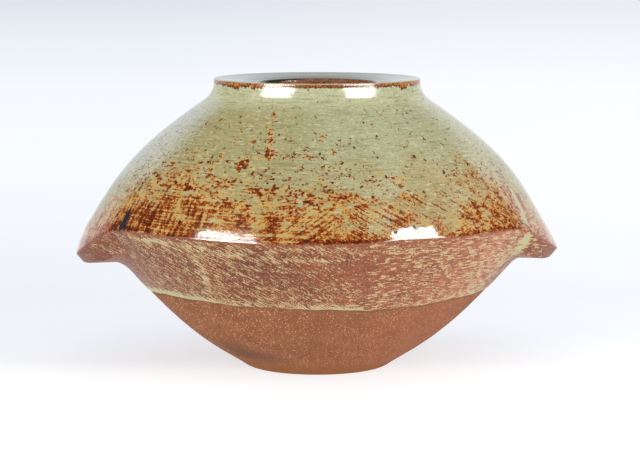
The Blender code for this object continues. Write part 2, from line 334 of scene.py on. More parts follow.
LEFT_LUG = Lug(
    side=pi,
    spread=radians(31.3),
    fullness=0.61,
    face=0.0042,
    top_radius=0.0700,
    taper_share=0.30,
    hollow_reach=0.0040,
    hollow_drop=0.0050,
)
RIGHT_LUG = Lug(
    side=0,
    spread=radians(29.5),
    fullness=0.68,
    face=0.0049,
    top_radius=0.1300,
    taper_share=0.26,
    hollow_reach=0.0020,
    hollow_drop=0.0040,
)


def heading(angle):
    """Unit direction in the radius and height plane, anticlockwise from outwards."""
    return np.array((cos(angle), sin(angle)))


def bezier(near, near_handle, far_handle, far, count=CURVE_POINTS):
    """Points of a cubic curve, both ends included."""
    share = np.linspace(0, 1, count)[:, None]
    rest = 1 - share
    return (
        rest**3 * near
        + 3 * rest**2 * share * near_handle
        + 3 * rest * share**2 * far_handle
        + share**3 * far
    )


def arc(centre, radius, start, end, count=24):
    """Points of an arc, both ends included."""
    angles = np.linspace(start, end, count)
    return centre + radius * np.stack((np.cos(angles), np.sin(angles)), axis=1)


def line(start, end, count=12):
    """Points of a straight line, both ends included."""
    return np.linspace(start, end, count)


def soft_step(value, low, high):
    """Smooth rise from 0 at low to 1 at high."""
    share = np.clip((value - low) / (high - low), 0, 1)
    return share * share * (3 - 2 * share)


def lengths_along(points):
    """Length from an outline's start to each of its points, for one outline or one in each column."""
    steps = np.linalg.norm(np.diff(points, axis=0), axis=-1)
    return np.concatenate((np.zeros_like(steps[:1]), np.cumsum(steps, axis=0)))


def round_axis(radius, height, turn):
    """Rings of points in space from radii, heights and turns round the jar's axis."""
    return np.stack((radius * np.cos(turn), radius * np.sin(turn), height), axis=2)


def turn_between(turn, centre):
    """Signed turn from a centre, in radians between minus half a turn and half a turn."""
    return (turn - centre + pi) % FULL_TURN - pi


def waist_point(sizes):
    """Radius and height of the ridge."""
    return np.array((sizes.waist_radius, sizes.waist_height))


def neck_centre(sizes):
    """Centre of the neck's hollow curve."""
    return np.array((sizes.rim_radius + NECK_HOLLOW_RADIUS, sizes.jar_height - RIM_LAND))


def dome_outline(sizes):
    """Outside of the dome, from the neck down to the waist."""
    waist = waist_point(sizes)
    neck_end = pi + QUARTER_TURN - NECK_SLOPE_ANGLE
    neck = neck_centre(sizes) + heading(neck_end) * NECK_HOLLOW_RADIUS
    neck_handle = neck + heading(-NECK_SLOPE_ANGLE) * DOME_UPPER_HANDLE
    waist_handle = waist + heading(pi - DOME_RISE_ANGLE) * DOME_LOWER_HANDLE
    return bezier(neck, neck_handle, waist_handle, waist)


def bowl_outline(sizes):
    """Outside of the bowl, from the waist down to the knuckle over the foot."""
    waist = waist_point(sizes)
    tangent = FOOT_KNUCKLE_RADIUS * tan(FOOT_RISE_ANGLE / 2)
    knuckle = np.array((sizes.foot_radius + tangent, 0)) + heading(FOOT_RISE_ANGLE) * tangent
    waist_handle = waist + heading(pi + BOWL_FALL_ANGLE) * BOWL_UPPER_HANDLE
    knuckle_handle = knuckle + heading(FOOT_RISE_ANGLE) * BOWL_LOWER_HANDLE
    return bezier(waist, waist_handle, knuckle_handle, knuckle)


def mouth_outline(sizes):
    """Outside of the mouth in parts: throat, lip and flange, rim edge, land and neck hollow."""
    under = sizes.jar_height - FLANGE_DISH - FLANGE_THICKNESS
    lip_centre = np.array(
        (sizes.mouth_radius + LIP_RADIUS, sizes.jar_height - FLANGE_DISH - LIP_RADIUS)
    )
    edge_centre = np.array((sizes.rim_radius - RIM_EDGE_RADIUS, sizes.jar_height - RIM_EDGE_RADIUS))
    lip = arc(lip_centre, LIP_RADIUS, pi, QUARTER_TURN)
    throat = line((sizes.mouth_radius, under), lip[0])
    edge = arc(edge_centre, RIM_EDGE_RADIUS, QUARTER_TURN, 0)
    land = line(edge[-1], (sizes.rim_radius, sizes.jar_height - RIM_LAND))
    neck_end = pi + QUARTER_TURN - NECK_SLOPE_ANGLE
    hollow = arc(neck_centre(sizes), NECK_HOLLOW_RADIUS, pi, neck_end, 48)
    return [np.concatenate((throat, lip[1:])), line(lip[-1], edge[0], 40), edge, land, hollow]


def inset(outline, distance):
    """An outline moved into the wall, point by point."""
    along = np.gradient(outline, axis=0)
    along /= np.linalg.norm(along, axis=1)[:, None]
    return outline + np.stack((along[:, 1], -along[:, 0]), axis=1) * distance


def lug_swell(lug, turn):
    """How far each turn of the jar is inside a lug, from 0 outside to 1 at the lug's middle."""
    weights = np.exp(-0.5 * (LUG_BLUR_STEPS / 2) ** 2)
    swell = 0
    for step, weight in zip(LUG_BLUR_STEPS, weights / weights.sum()):
        aside = np.abs(turn_between(turn, lug.side) + step * LUG_BLUR)
        swell = swell + weight * np.cos(QUARTER_TURN * np.clip(aside / lug.spread, 0, 1)) ** (
            2 * lug.fullness
        )
    return swell


def lug_top_radius(sizes, lug, height):
    """Radius of a lug's top: the dome's curve carried on below the waist."""
    centre = waist_point(sizes) - heading(QUARTER_TURN - DOME_RISE_ANGLE) * lug.top_radius
    return centre[0] + np.sqrt(lug.top_radius**2 - (height - centre[1]) ** 2)


def lug_levels(sizes, lug, drop, bowl_radius, turn):
    """Reach from the bowl, height of the crest and height of the underside of a lug at every turn."""
    swell = lug_swell(lug, turn)
    tip = sizes.waist_height - drop
    reach = swell * (lug_top_radius(sizes, lug, tip) - bowl_radius(tip))
    levels = np.linspace(sizes.waist_height, tip - CREST_SEARCH_DEPTH, FINE_POINTS)
    crest = np.interp(reach, lug_top_radius(sizes, lug, levels) - bowl_radius(levels), levels)
    floor = sizes.waist_height - (drop + lug.face) * swell**lug.taper_share
    return reach, crest, floor


def waved(turn, *waves):
    """Sum of waves round the jar, each as size, count round the jar and phase in degrees."""
    return sum(size * np.sin(count * turn + radians(phase)) for size, count, phase in waves)


def coat_height(sizes, turn):
    """Height of the wavy line where the brushed glaze ends."""
    swing = waved(turn, (0.0012, 3, 135), (0.0003, 7, 20), (0.00022, 17, 80), (0.00014, 41, 10))
    return sizes.coat_height + swing


def ridge_raised(sizes, flat, turn):
    """Radius and height points with the slow rise and fall of the hand-thrown ridge."""
    height = flat[:, :, 1]
    near = np.exp(-(((height - sizes.waist_height) / RIDGE_RISE_SPREAD) ** 2))
    rise = round_table(turn, *RIDGE_RISE) * near
    return np.stack((flat[:, :, 0], height + rise), axis=2)


def foot_outline(sizes):
    """Outside of the foot in parts: knuckle, ring, slope of the recess and recess."""
    centre = np.array((sizes.foot_radius, FOOT_KNUCKLE_RADIUS))
    knuckle = arc(centre, FOOT_KNUCKLE_RADIUS, FOOT_RISE_ANGLE - QUARTER_TURN, -QUARTER_TURN)
    ring = sizes.foot_radius - FOOT_RING_WIDTH
    recess = (ring - FOOT_RECESS_SLOPE, FOOT_RECESS_DEPTH)
    return [
        knuckle,
        line(knuckle[-1], (ring, 0)),
        line((ring, 0), recess, 6),
        line(recess, (0, FOOT_RECESS_DEPTH), 20),
    ]


def lug_section(sizes, turn):
    """Radii and heights below the waist at every turn: lug top, face, underside, hollow and bowl."""
    count = len(turn)
    bowl = bowl_outline(sizes)
    heights = bowl[::-1, 1]
    radii = bowl[::-1, 0]

    def bowl_radius(height):
        return np.interp(height, heights, radii)

    on_right = np.cos(turn) > 0
    left = lug_levels(sizes, LEFT_LUG, sizes.left_lug_drop, bowl_radius, turn)
    right = lug_levels(sizes, RIGHT_LUG, sizes.right_lug_drop, bowl_radius, turn)
    reach, crest, floor = np.where(on_right, right, left)
    rightness = soft_step(np.cos(turn), -0.5, 0.5)
    hollow_reach = np.where(on_right, RIGHT_LUG.hollow_reach, LEFT_LUG.hollow_reach)
    hollow_drop = LEFT_LUG.hollow_drop + (RIGHT_LUG.hollow_drop - LEFT_LUG.hollow_drop) * rightness

    def under(distance):
        rise = np.clip(1 - distance / hollow_reach, 0, 1)
        return floor - hollow_drop * (1 - np.sqrt(1 - rise**2))

    def across(start, end, points):
        return start + (end - start) * np.linspace(0, 1, points)[:, None]

    near_reach = np.minimum(reach, hollow_reach)
    top = across(np.full(count, sizes.waist_height), crest, 60)[1:]
    top_radius = np.where(
        on_right, lug_top_radius(sizes, RIGHT_LUG, top), lug_top_radius(sizes, LEFT_LUG, top)
    )
    face = across(crest, np.minimum(under(reach), crest), 40)[1:]
    flat = across(reach, near_reach, 30)[1:]
    flat_height = np.minimum(under(flat), crest)
    swing = across(np.zeros(count), np.ones(count), 60)[1:]
    hollow = near_reach * (1 - np.sin(QUARTER_TURN * swing))
    hollow_height = under(hollow)
    rest = across(floor - hollow_drop, np.full(count, bowl[-1, 1]), FINE_POINTS)[1:]
    return [
        (top_radius, top),
        (bowl_radius(face) + reach, face),
        (bowl_radius(flat_height) + flat, flat_height),
        (bowl_radius(hollow_height) + hollow, hollow_height),
        (bowl_radius(rest), rest),
    ]


def column_points(sizes, turn):
    """Section of the outside at every turn, as points, with the marks' places along it."""
    count = len(turn)

    def same_all_round(outline):
        return np.repeat(outline[:, None, :], count, axis=1)

    pieces = [same_all_round(part) for part in (*mouth_outline(sizes), dome_outline(sizes))]
    pieces += [np.stack(part, axis=2) for part in lug_section(sizes, turn)]
    pieces += [same_all_round(part) for part in foot_outline(sizes)]
    ends = dict(zip(SECTION_PARTS, np.cumsum([len(piece) for piece in pieces]) - 1))
    points = ridge_raised(sizes, np.concatenate(pieces), turn)
    along = lengths_along(points)
    marks = {name: along[end] for name, end in ends.items()}
    marks["throat"] = np.zeros(count)
    marks["patch_top"] = marks["waist"] - PATCH_RISE
    bowl = slice(ends["patch_foot"], ends["knuckle"] + 1)
    target = coat_height(sizes, turn)
    coat = np.empty(count)
    for column in range(count):
        coat[column] = np.interp(-target[column], -points[bowl, column, 1], along[bowl, column])
    marks["coat_above"] = coat - COAT_ZONE_ABOVE
    marks["coat_line"] = coat
    marks["coat_below"] = coat + COAT_ZONE_BELOW
    return points, along, marks


def looked_up(places, along, points):
    """Points at new places along the section of every column."""
    found = np.empty((*places.shape, 2))
    for column in range(places.shape[1]):
        for axis in (0, 1):
            found[:, column, axis] = np.interp(
                places[:, column], along[:, column], points[:, column, axis]
            )
    return found


def softened(points, along, marks):
    """Even samples along each section, with the corners from the neck down rounded as by glaze."""
    samples = np.arange(0, marks["middle"].max() + SAMPLE_STEP, SAMPLE_STEP)
    wide_samples = np.repeat(samples[:, None], points.shape[1], axis=1)
    even = looked_up(wide_samples, along, points)
    taps = np.arange(-SOFTENING_TAPS, SOFTENING_TAPS + 1)
    weights = np.exp(-0.5 * (taps * SAMPLE_STEP / SOFTENING) ** 2)
    weights /= weights.sum()
    before = np.repeat(even[:1], SOFTENING_TAPS, axis=0)
    after = np.repeat(even[-1:], SOFTENING_TAPS, axis=0)
    padded = np.concatenate((before, even, after))
    soft = sum(
        weight * padded[index : index + len(samples)] for index, weight in enumerate(weights)
    )
    share = soft_step(samples, marks["neck"][0], marks["neck"][0] + BLEND_LENGTH)[:, None, None]
    return wide_samples, even + (soft - even) * share


def ring_places(marks):
    """Place along the section of every ring, and the ring number of every mark."""
    places = []
    numbers = {}
    total = 0
    before = None
    for name, rings in OUTSIDE_MARKS:
        mark = marks[name]
        for step in range(1, rings + 1):
            places.append(before + (mark - before) * step / rings)
        if before is None:
            places.append(mark)
        total += rings
        numbers[name] = total
        before = mark
    return np.array(places), numbers


def coat_thickness(above, coat):
    """Thickness of the glaze coat at a distance above its line: none, a round bead, then even."""
    rise = (1 + BEAD_SWELL) * soft_step(above, 0, BEAD_WIDTH)
    return coat * (rise - BEAD_SWELL * soft_step(above, BEAD_WIDTH, BEAD_END))


def wall_texture(sizes, turn, places, neck, height):
    """How deep the throwing rings and the slow lumps are, from the neck to the foot."""
    body = soft_step(places, neck - 0.004, neck + 0.012) * soft_step(height, 0.002, 0.010)
    sway = 1.1 * np.sin(turn + 0.6) + 0.5 * np.sin(3 * turn)
    rings = 0.5 + 0.5 * np.sin(FULL_TURN * places / THROWING_RING_SPACING + sway)
    lumps = 0.5 + 0.25 * np.sin(5 * turn + places * 55)
    lumps = lumps + 0.25 * np.sin(9 * turn - places * 90 + 1.0)
    return body * (sizes.throwing_rings * rings + sizes.unevenness * lumps)


def section_outward(flat):
    """Direction out of the wall at every point of the sections."""
    tangent = np.gradient(flat, axis=0)
    tangent /= np.maximum(np.linalg.norm(tangent, axis=2), 1e-9)[:, :, None]
    return np.stack((-tangent[:, :, 1], tangent[:, :, 0]), axis=2)


def grid_normals(place):
    """Normal of every point from its neighbours, straight down in the foot's middle."""
    by_ring = np.gradient(place, axis=0)
    by_column = np.roll(place, -1, axis=1) - np.roll(place, 1, axis=1)
    normal = np.cross(by_ring, by_column)
    normal[-1] = (0, 0, -1)
    return normal / np.maximum(np.linalg.norm(normal, axis=2), 1e-12)[:, :, None]


def outer_skin(sizes):
    """Every point of the jar's outside, as rings by columns, with its normals and surface marks."""
    turn = QUARTER_TURN + np.arange(COLUMNS) * FULL_TURN / COLUMNS
    points, along, marks = column_points(sizes, turn)
    samples, even = softened(points, along, marks)
    places, numbers = ring_places(marks)
    flat = looked_up(places, samples, even)
    flat[-1, :, 0] = 0
    outward = section_outward(flat)
    down = places - marks["neck"]
    ridge = marks["crest"] - places
    above_coat = marks["coat_line"] - places
    height = flat[:, :, 1]
    wide_turn = np.broadcast_to(turn, places.shape)
    sink = wall_texture(sizes, wide_turn, places, marks["neck"], height)
    under_coat = sizes.coat - coat_thickness(above_coat, sizes.coat)
    bare = soft_step(places, marks["patch_foot"], marks["coat_above"]) * soft_step(height, 0.0, 0.009)
    sink = sink + np.maximum(under_coat, 0) * bare
    flat = flat - outward * sink[:, :, None]
    flat[-1, :, 0] = 0
    place = round_axis(flat[:, :, 0], flat[:, :, 1], turn)
    traits = surface_traits(wide_turn, down, ridge, above_coat, height, places - marks["rim"])
    return {
        "turn": turn,
        "place": place,
        "normal": grid_normals(place),
        "traits": traits,
        "numbers": numbers,
        "flat": flat,
    }


def wound(turn, down, twist=0.0):
    """Coordinates wound round the jar: a circle of the pattern's radius and the length down it."""
    return round_axis(PATTERN_RADIUS, down, turn - twist * down / PATTERN_RADIUS)


def round_table(turn, *entries):
    """Smooth value round the jar from a few entries of degrees and value."""
    degrees = np.degrees(turn) % 360
    angles = [entry[0] % 360 for entry in entries]
    values = [entry[1] for entry in entries]
    order = np.argsort(angles)
    angles = np.array(angles)[order]
    values = np.array(values)[order]
    return np.interp(degrees, angles, values, period=360)


def spots(turn, height, *entries):
    """Sum of soft spots, each as degrees, height, width in degrees, tallness and amount."""
    total = np.zeros_like(height)
    for degrees, at, wide, tall, amount in entries:
        aside = turn_between(turn, radians(degrees)) / radians(wide)
        total += amount * np.exp(-(aside**2) - ((height - at) / tall) ** 2)
    return total


def iron_density(turn, height, ridge):
    """How much rusty iron shows through the dome's glaze: most at the ridge, little at the neck."""
    edge = round_table(turn, *IRON_EDGE)
    density = np.interp(
        ridge / edge,
        (-0.3, 0, 0.12, 0.5, 0.95, 1.3, 2.2, 3.0),
        (0.48, 0.48, 0.46, 0.41, 0.29, 0.08, -0.08, -0.24),
    )
    gathered = 0.14 * np.exp(-(((ridge - 0.0011) / 0.0010) ** 2))
    return density + gathered + spots(turn, height, *IRON_SPOTS)


def pale_density(turn, height, ridge, above_coat):
    """How much of the pale brushed glaze lies on the brown below the ridge."""
    below = -ridge
    density = np.interp(
        below,
        (0, 0.0010, 0.0022, 0.0050, 0.0080, 0.0140),
        (0.16, 0.26, 0.36, 0.36, 0.33, 0.33),
    )
    pool = round_table(turn, *PALE_POOLS)
    low = 1 - soft_step(above_coat, 0.0008, 0.0060)
    return density + low * pool + spots(turn, height, *PALE_SPOTS)


def surface_traits(turn, down, ridge, above_coat, height, rim):
    """Values that the glazes and the clay read from the mesh."""

    def marked(table):
        return np.clip(spots(turn, height, *table), 0, 1)

    bars = np.clip(round_table(turn, *BARS) * soft_step(ridge, 0.026, 0.016), 0, 1)
    rows = round_table(turn, *ROWS)
    tan_foot = soft_step(height, 0.0085, 0.0030)
    pink_and_sheen = round_table(turn, *PINK_AND_SHEEN)
    return {
        "wound": wound(turn, down),
        "wound_left": wound(turn, down, -1.2),
        "wound_right": wound(turn, down, 1.3),
        "strokes": np.stack((bars, marked(LEFT_STROKES), marked(RIGHT_STROKES)), axis=2),
        "iron": iron_density(turn, height, ridge),
        "wet": np.stack((rows, marked(POOL), marked(DRIP)), axis=2),
        "pale": pale_density(turn, height, ridge, above_coat),
        "brushed": round_table(turn, *BRUSHED),
        "ridge": ridge,
        "above_coat": above_coat,
        "height": height,
        "rim": rim,
        "drops": round_table(turn, *RIM_DROPS),
        "clay": np.stack((marked(GREY_BROWN_PATCHES), tan_foot, pink_and_sheen), axis=2),
    }


def plain_patch(sizes, skin, sink):
    """Rings of the plain body behind the lugs, from the patch's top over the waist to its foot."""
    numbers = skin["numbers"]
    upper = numbers["crest"] - numbers["patch_top"]
    lower = numbers["patch_foot"] - numbers["crest"]
    dome = dome_outline(sizes)
    along = lengths_along(dome)
    places = along[-1] - PATCH_RISE * np.linspace(1, 0, upper + 1)
    top = np.stack([np.interp(places, along, dome[:, axis]) for axis in (0, 1)], axis=1)
    bowl = bowl_outline(sizes)
    foot_height = skin["flat"][numbers["patch_foot"], :, 1]
    levels = np.linspace(0, 1, lower + 1)[1:, None]
    levels = sizes.waist_height + (foot_height - sizes.waist_height) * levels
    radii = np.interp(levels, bowl[::-1, 1], bowl[::-1, 0])
    top = np.repeat(top[:, None, :], COLUMNS, axis=1)
    flat = np.concatenate((top, np.stack((radii, levels), axis=2)))
    flat = ridge_raised(sizes, flat, skin["turn"])
    return round_axis(flat[:, :, 0] - sink, flat[:, :, 1], skin["turn"])


def lug_columns(skin, lug):
    """Columns that a lug covers, in order, both ends on the plain body."""
    aside = np.abs(turn_between(skin["turn"], lug.side))
    inside = aside < lug.spread + LUG_BLUR * (LUG_BLUR_STEPS[-1] + 1)
    middle = int(np.argmin(aside))
    half = int(inside.sum() // 2)
    return np.arange(middle - half, middle + half + 1) % COLUMNS


def inner_rings(sizes):
    """Rings of the jar's inside as (radius, height) from the throat to the floor's middle, in parts."""
    under = sizes.jar_height - FLANGE_DISH - FLANGE_THICKNESS
    centre = neck_centre(sizes)
    inner_radius = NECK_HOLLOW_RADIUS + sizes.wall
    turn = asin((centre[1] - under) / inner_radius)
    corner = np.array((centre[0] - inner_radius * cos(turn), under))
    dome = inset(dome_outline(sizes), sizes.wall)
    seat = dome[0]
    edge = corner - np.array((UNDERCUT_REACH, 0))
    flange = line((sizes.mouth_radius, under), edge, 5)
    undercut = bezier(edge, corner, corner, seat, 12)
    bowl = inset(bowl_outline(sizes), sizes.wall)
    waist = sizes.waist_height
    dome = dome[dome[:, 1] > waist + SEAM_CLEARANCE]
    bowl = bowl[bowl[:, 1] < waist - SEAM_CLEARANCE]
    bowl = bowl[bowl[:, 1] > FLOOR_HEIGHT + FLOOR_CORNER / 2]
    inner_waist = np.array(((dome[-1, 0] + bowl[0, 0]) / 2 + INNER_WAIST_REACH, waist))
    dome = resampled(np.vstack((dome, inner_waist)), INSIDE_DOME_RINGS)
    bowl = resampled(np.vstack((inner_waist, bowl)), INSIDE_BOWL_RINGS)
    slope = bowl[-1] - bowl[-2]
    floor_corner = bowl[-1] + slope * (bowl[-1, 1] - FLOOR_HEIGHT) / -slope[1]
    start = floor_corner - np.array((FLOOR_CORNER, 0))
    floor = bezier(bowl[-1], floor_corner, floor_corner, start, 8)
    floor = np.vstack((floor[1:], line(start, (0, FLOOR_HEIGHT), 7)[1:]))
    return [np.vstack((flange, undercut[1:])), dome[1:], np.vstack((bowl[1:], floor))]


def resampled(outline, count):
    """The same outline with evenly spaced points."""
    along = lengths_along(outline)
    places = np.linspace(0, along[-1], count)
    return np.stack([np.interp(places, along, outline[:, axis]) for axis in (0, 1)], axis=1)


def turned(outline, turn):
    """Rings of an outline turned round the axis."""
    height = np.broadcast_to(outline[:, 1:], (len(outline), len(turn)))
    return round_axis(outline[:, :1], height, turn)


def grid_quads(rings, columns, ring_wrap, column_wrap):
    """Ring and column numbers of the corners of every quad, before any wrap is taken off."""
    ring_count = rings if ring_wrap else rings - 1
    column_count = columns if column_wrap else columns - 1
    ring, column = np.meshgrid(np.arange(ring_count), np.arange(column_count), indexing="ij")
    start = np.stack((ring.ravel(), column.ravel()), axis=1)
    return start[:, None, :] + np.array(((0, 0), (1, 0), (1, 1), (0, 1)))


def kept_faces(ids, shares, ring_of_face, finish_ends):
    """Corners, texture places and material slot of every face, without corners that coincide."""
    faces = []
    uv_rows = []
    slots = []
    for face, share, ring in zip(ids.tolist(), shares.tolist(), ring_of_face.tolist()):
        kept = [index for index in range(4) if face[index] != face[index - 1]]
        if len(kept) < 3:
            continue
        faces.append([face[index] for index in kept])
        uv_rows.extend(share[index] for index in kept)
        slots.append(next(slot for slot, end in enumerate(finish_ends) if ring < end))
    return faces, uv_rows, slots


def add_traits(mesh, traits, used):
    """Writes the surface values of the used points."""
    for trait, values in traits.items():
        kind, field = ("FLOAT_VECTOR", "vector") if values.ndim == 3 else ("FLOAT", "value")
        attribute = mesh.attributes.new(trait, kind, "POINT")
        rows = values.reshape(values.shape[0] * values.shape[1], -1)[used]
        attribute.data.foreach_set(field, rows.astype(np.float32).ravel())


def set_normals(mesh, normal):
    """Sets the points' normals, apart from those that are left to the faces."""
    own = np.empty(len(normal) * 3, dtype=np.float32)
    mesh.vertex_normals.foreach_get("vector", own)
    own = own.reshape(-1, 3)
    known = ~np.isnan(normal[:, 0])
    own[known] = normal[known]
    mesh.normals_split_custom_set_from_vertices(own.tolist())


def in_scene(name, data):
    """New object in the scene."""
    thing = bpy.data.objects.new(name, data)
    bpy.context.scene.collection.objects.link(thing)
    return thing


def add_mesh(name, place, normal, traits, finishes, ring_wrap, column_wrap, poles=()):
    """One closed piece from rings of points. Finishes are (material, last ring) pairs from the top."""
    rings, columns = place.shape[:2]
    numbers = np.arange(rings * columns).reshape(rings, columns)
    for pole in poles:
        numbers[pole] = numbers[pole, 0]
    corners = grid_quads(rings, columns, ring_wrap, column_wrap)
    ids = numbers[corners[:, :, 0] % rings, corners[:, :, 1] % columns]
    shares = np.stack((corners[:, :, 1] / columns, corners[:, :, 0] / rings), axis=2)
    ring_of_face = corners[:, 0, 0]
    if not column_wrap:
        ids, shares, ring_of_face = with_end_caps(ids, shares, ring_of_face, numbers)
    used, flat_ids = np.unique(ids, return_inverse=True)
    ids = flat_ids.reshape(ids.shape)
    ends = [end for _, end in finishes]
    faces, uv_rows, slots = kept_faces(ids, shares, ring_of_face, ends)
    mesh = bpy.data.meshes.new(name)
    mesh.from_pydata(place.reshape(-1, 3)[used].tolist(), [], faces)
    layer = mesh.uv_layers.new(name="OFBake")
    layer.data.foreach_set("uv", np.array(uv_rows).ravel())
    for material, _ in finishes:
        mesh.materials.append(material)
    mesh.polygons.foreach_set("material_index", slots)
    mesh.shade_smooth()
    add_traits(mesh, traits, used)
    mesh.update()
    set_normals(mesh, normal.reshape(-1, 3)[used])
    return in_scene(name, mesh)


def with_end_caps(ids, shares, ring_of_face, numbers):
    """Adds the two ends of a lug, from its front rings to the back rings that lie behind them."""
    rings, columns = numbers.shape
    ends = []
    end_shares = []
    for column, place, flip in ((0, CAP_PLACES[0], True), (columns - 1, CAP_PLACES[1], False)):
        for ring in range(rings // 2):
            behind = (rings - ring) % rings
            behind_next = rings - ring - 1
            face = [
                numbers[ring, column],
                numbers[ring + 1, column],
                numbers[behind_next, column],
                numbers[behind, column],
            ]
            low = ring / rings
            high = (ring + 1) / rings
            beside = place + CAP_WIDTH
            share = [(place, low), (place, high), (beside, high), (beside, low)]
            ends.append(face if not flip else face[::-1])
            end_shares.append(share if not flip else share[::-1])
    shares = shares * np.array((GRID_SHARE, 1.0))
    ids = np.concatenate((ids, np.array(ends)))
    shares = np.concatenate((shares, np.array(end_shares)))
    ring_of_face = np.concatenate((ring_of_face, np.full(len(ends), rings - 1)))
    return ids, shares, ring_of_face


def stand_for(piece, node):
    """Makes a piece ride on the jar in place of its plain node."""
    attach(piece, "root")
    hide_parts(node)


def linear(colour):
    """Screen colour as the linear colour that a shader takes."""
    return tuple(
        value / 12.92 if value <= 0.04045 else ((value + 0.055) / 1.055) ** 2.4 for value in colour
    )


def panel_colour(name):
    """Linear colour for the panel's colour of this name."""
    return (*linear(getattr(bpy.context.scene.jar_colours, name)), 1)


class Nodes:
    """Short calls that add nodes to one tree and join them. A name stands for a panel colour."""

    def __init__(self, tree):
        self.tree = tree
        self.traits = {}

    def put(self, node, inputs):
        """Joins or sets a node's inputs."""
        for name, value in inputs.items():
            if isinstance(value, bpy.types.NodeSocket):
                self.tree.links.new(value, node.inputs[name])
            elif isinstance(value, str):
                node.inputs[name].default_value = panel_colour(value)
            else:
                node.inputs[name].default_value = value

    def add(self, kind, inputs, **settings):
        node = self.tree.nodes.new(kind)
        for name, value in settings.items():
            setattr(node, name, value)
        self.put(node, inputs)
        return node.outputs

    def math(self, operation, *values):
        return self.add("ShaderNodeMath", dict(enumerate(values)), operation=operation)[0]

    def times(self, first, second):
        return self.math("MULTIPLY", first, second)

    def plus(self, first, second):
        return self.math("ADD", first, second)

    def minus(self, first, second):
        return self.math("SUBTRACT", first, second)

    def scaled(self, value, factor, start):
        """The value times the factor, plus the start."""
        return self.math("MULTIPLY_ADD", value, factor, start)

    def most(self, first, second):
        return self.math("MAXIMUM", first, second)

    def trait(self, name):
        """The surface value of this name, read once."""
        if name not in self.traits:
            self.traits[name] = self.add("ShaderNodeAttribute", {}, attribute_name=name)
        return self.traits[name]

    def value(self, name):
        return self.trait(name)["Fac"]

    def vector(self, name):
        return self.trait(name)["Vector"]

    def parts(self, name):
        """The three values that a surface vector holds."""
        return self.add("ShaderNodeSeparateXYZ", {0: self.vector(name)})

    def rise(self, value, low, high):
        """Smooth rise from 0 at low to 1 at high, or the fall when low is above high."""
        inputs = {"Value": value, "From Min": low, "From Max": high}
        return self.add("ShaderNodeMapRange", inputs, interpolation_type="SMOOTHSTEP")["Result"]

    def mix(self, share, first, second):
        inputs = {0: share, 6: first, 7: second}
        return self.add("ShaderNodeMix", inputs, data_type="RGBA")[2]

    def blend(self, share, first, second):
        """The same for plain numbers."""
        return self.add("ShaderNodeMix", {0: share, 2: first, 3: second}, data_type="FLOAT")[0]

    def ramp(self, value, *stops):
        """Colours along a value, from pairs of a place and a colour, where a number is a grey."""
        outputs = self.add("ShaderNodeValToRGB", {0: value})
        band = self.tree.nodes[-1].color_ramp
        while len(band.elements) < len(stops):
            band.elements.new(1)
        for element, (place, colour) in zip(band.elements, stops):
            element.position = place
            if isinstance(colour, str):
                element.color = panel_colour(colour)
            elif isinstance(colour, float):
                element.color = (colour, colour, colour, 1)
            else:
                element.color = colour
        return outputs["Color"]

    def group(self, tree, inputs):
        outputs = self.add("ShaderNodeGroup", {}, node_tree=tree)
        self.put(self.tree.nodes[-1], inputs)
        return outputs[0]

    def noise(self, vector, around, down, shift):
        """Noise drawn out along or round the jar."""
        stretch = self.add("ShaderNodeCombineXYZ", {0: around, 1: around, 2: down})[0]
        inputs = {0: vector, 1: stretch, 2: shift}
        placed = self.add("ShaderNodeVectorMath", inputs, operation="MULTIPLY_ADD")[0]
        inputs = {"Vector": placed, "Scale": 1.0, "Detail": 2.0, "Roughness": 0.6}
        return self.add("ShaderNodeTexNoise", inputs)[0]

    def own_streak(self, around, down, shift):
        """A streak of the material's own, for a mask that also sets how strongly it shines."""
        return self.noise(self.vector("wound"), around, down, (shift, shift, shift))

    def streak(self, around, down, shift, vector=None):
        """Noise drawn out by its fineness round and down the jar, along a wound vector."""
        if vector is None:
            vector = self.vector("wound")
        inputs = {"Vector": vector, "Around": around, "Down": down, "Shift": (shift, shift, shift)}
        return self.group(streaks(), inputs)

    def specks(self, scale, share, size):
        inputs = {"Vector": self.vector("wound"), "Scale": scale, "Share": share, "Size": size}
        return self.group(specks(), inputs)


class Finish(Nodes):
    """A new material, with short calls for its Principled shader."""

    def __init__(self, name):
        self.material = bpy.data.materials.new(name)
        self.material.use_nodes = True
        super().__init__(self.material.node_tree)
        self.shader = self.tree.nodes["Principled BSDF"]

    def feed(self, **inputs):
        """Joins or sets the shader's inputs, with underscores for the spaces in their names."""
        self.put(self.shader, {name.replace("_", " "): value for name, value in inputs.items()})

    def surface(self, colour, roughness, height, depth):
        """Joins a colour, a roughness and a bump of this depth."""
        bump = self.add("ShaderNodeBump", {"Strength": 1.0, "Distance": depth, "Height": height})
        self.feed(Base_Color=colour, Roughness=roughness, Normal=bump["Normal"])

    def glaze(self, colour, roughness, depth):
        """The same with the surface of a pooled glaze."""
        height = self.group(glaze_skin(), {"Vector": self.vector("wound")})
        self.surface(colour, roughness, height, depth)


def effect(name, inputs, output_kind, build):
    """Shader node group with one output, made once."""
    if name in bpy.data.node_groups:
        return bpy.data.node_groups[name]
    tree = bpy.data.node_groups.new(name, "ShaderNodeTree")
    for label, kind in inputs:
        tree.interface.new_socket(label, in_out="INPUT", socket_type="NodeSocket" + kind)
    tree.interface.new_socket("Result", in_out="OUTPUT", socket_type="NodeSocket" + output_kind)
    nodes = Nodes(tree)
    source = nodes.add("NodeGroupInput", {})
    result = build(nodes, *source[: len(inputs)])
    nodes.add("NodeGroupOutput", {"Result": result})
    return tree


def streaks():
    """The noise that is drawn out along or round the jar, shared by every finish."""
    kinds = [("Vector", "Vector"), ("Around", "Float"), ("Down", "Float"), ("Shift", "Vector")]
    return effect("jar_streaks", kinds, "Float", Nodes.noise)


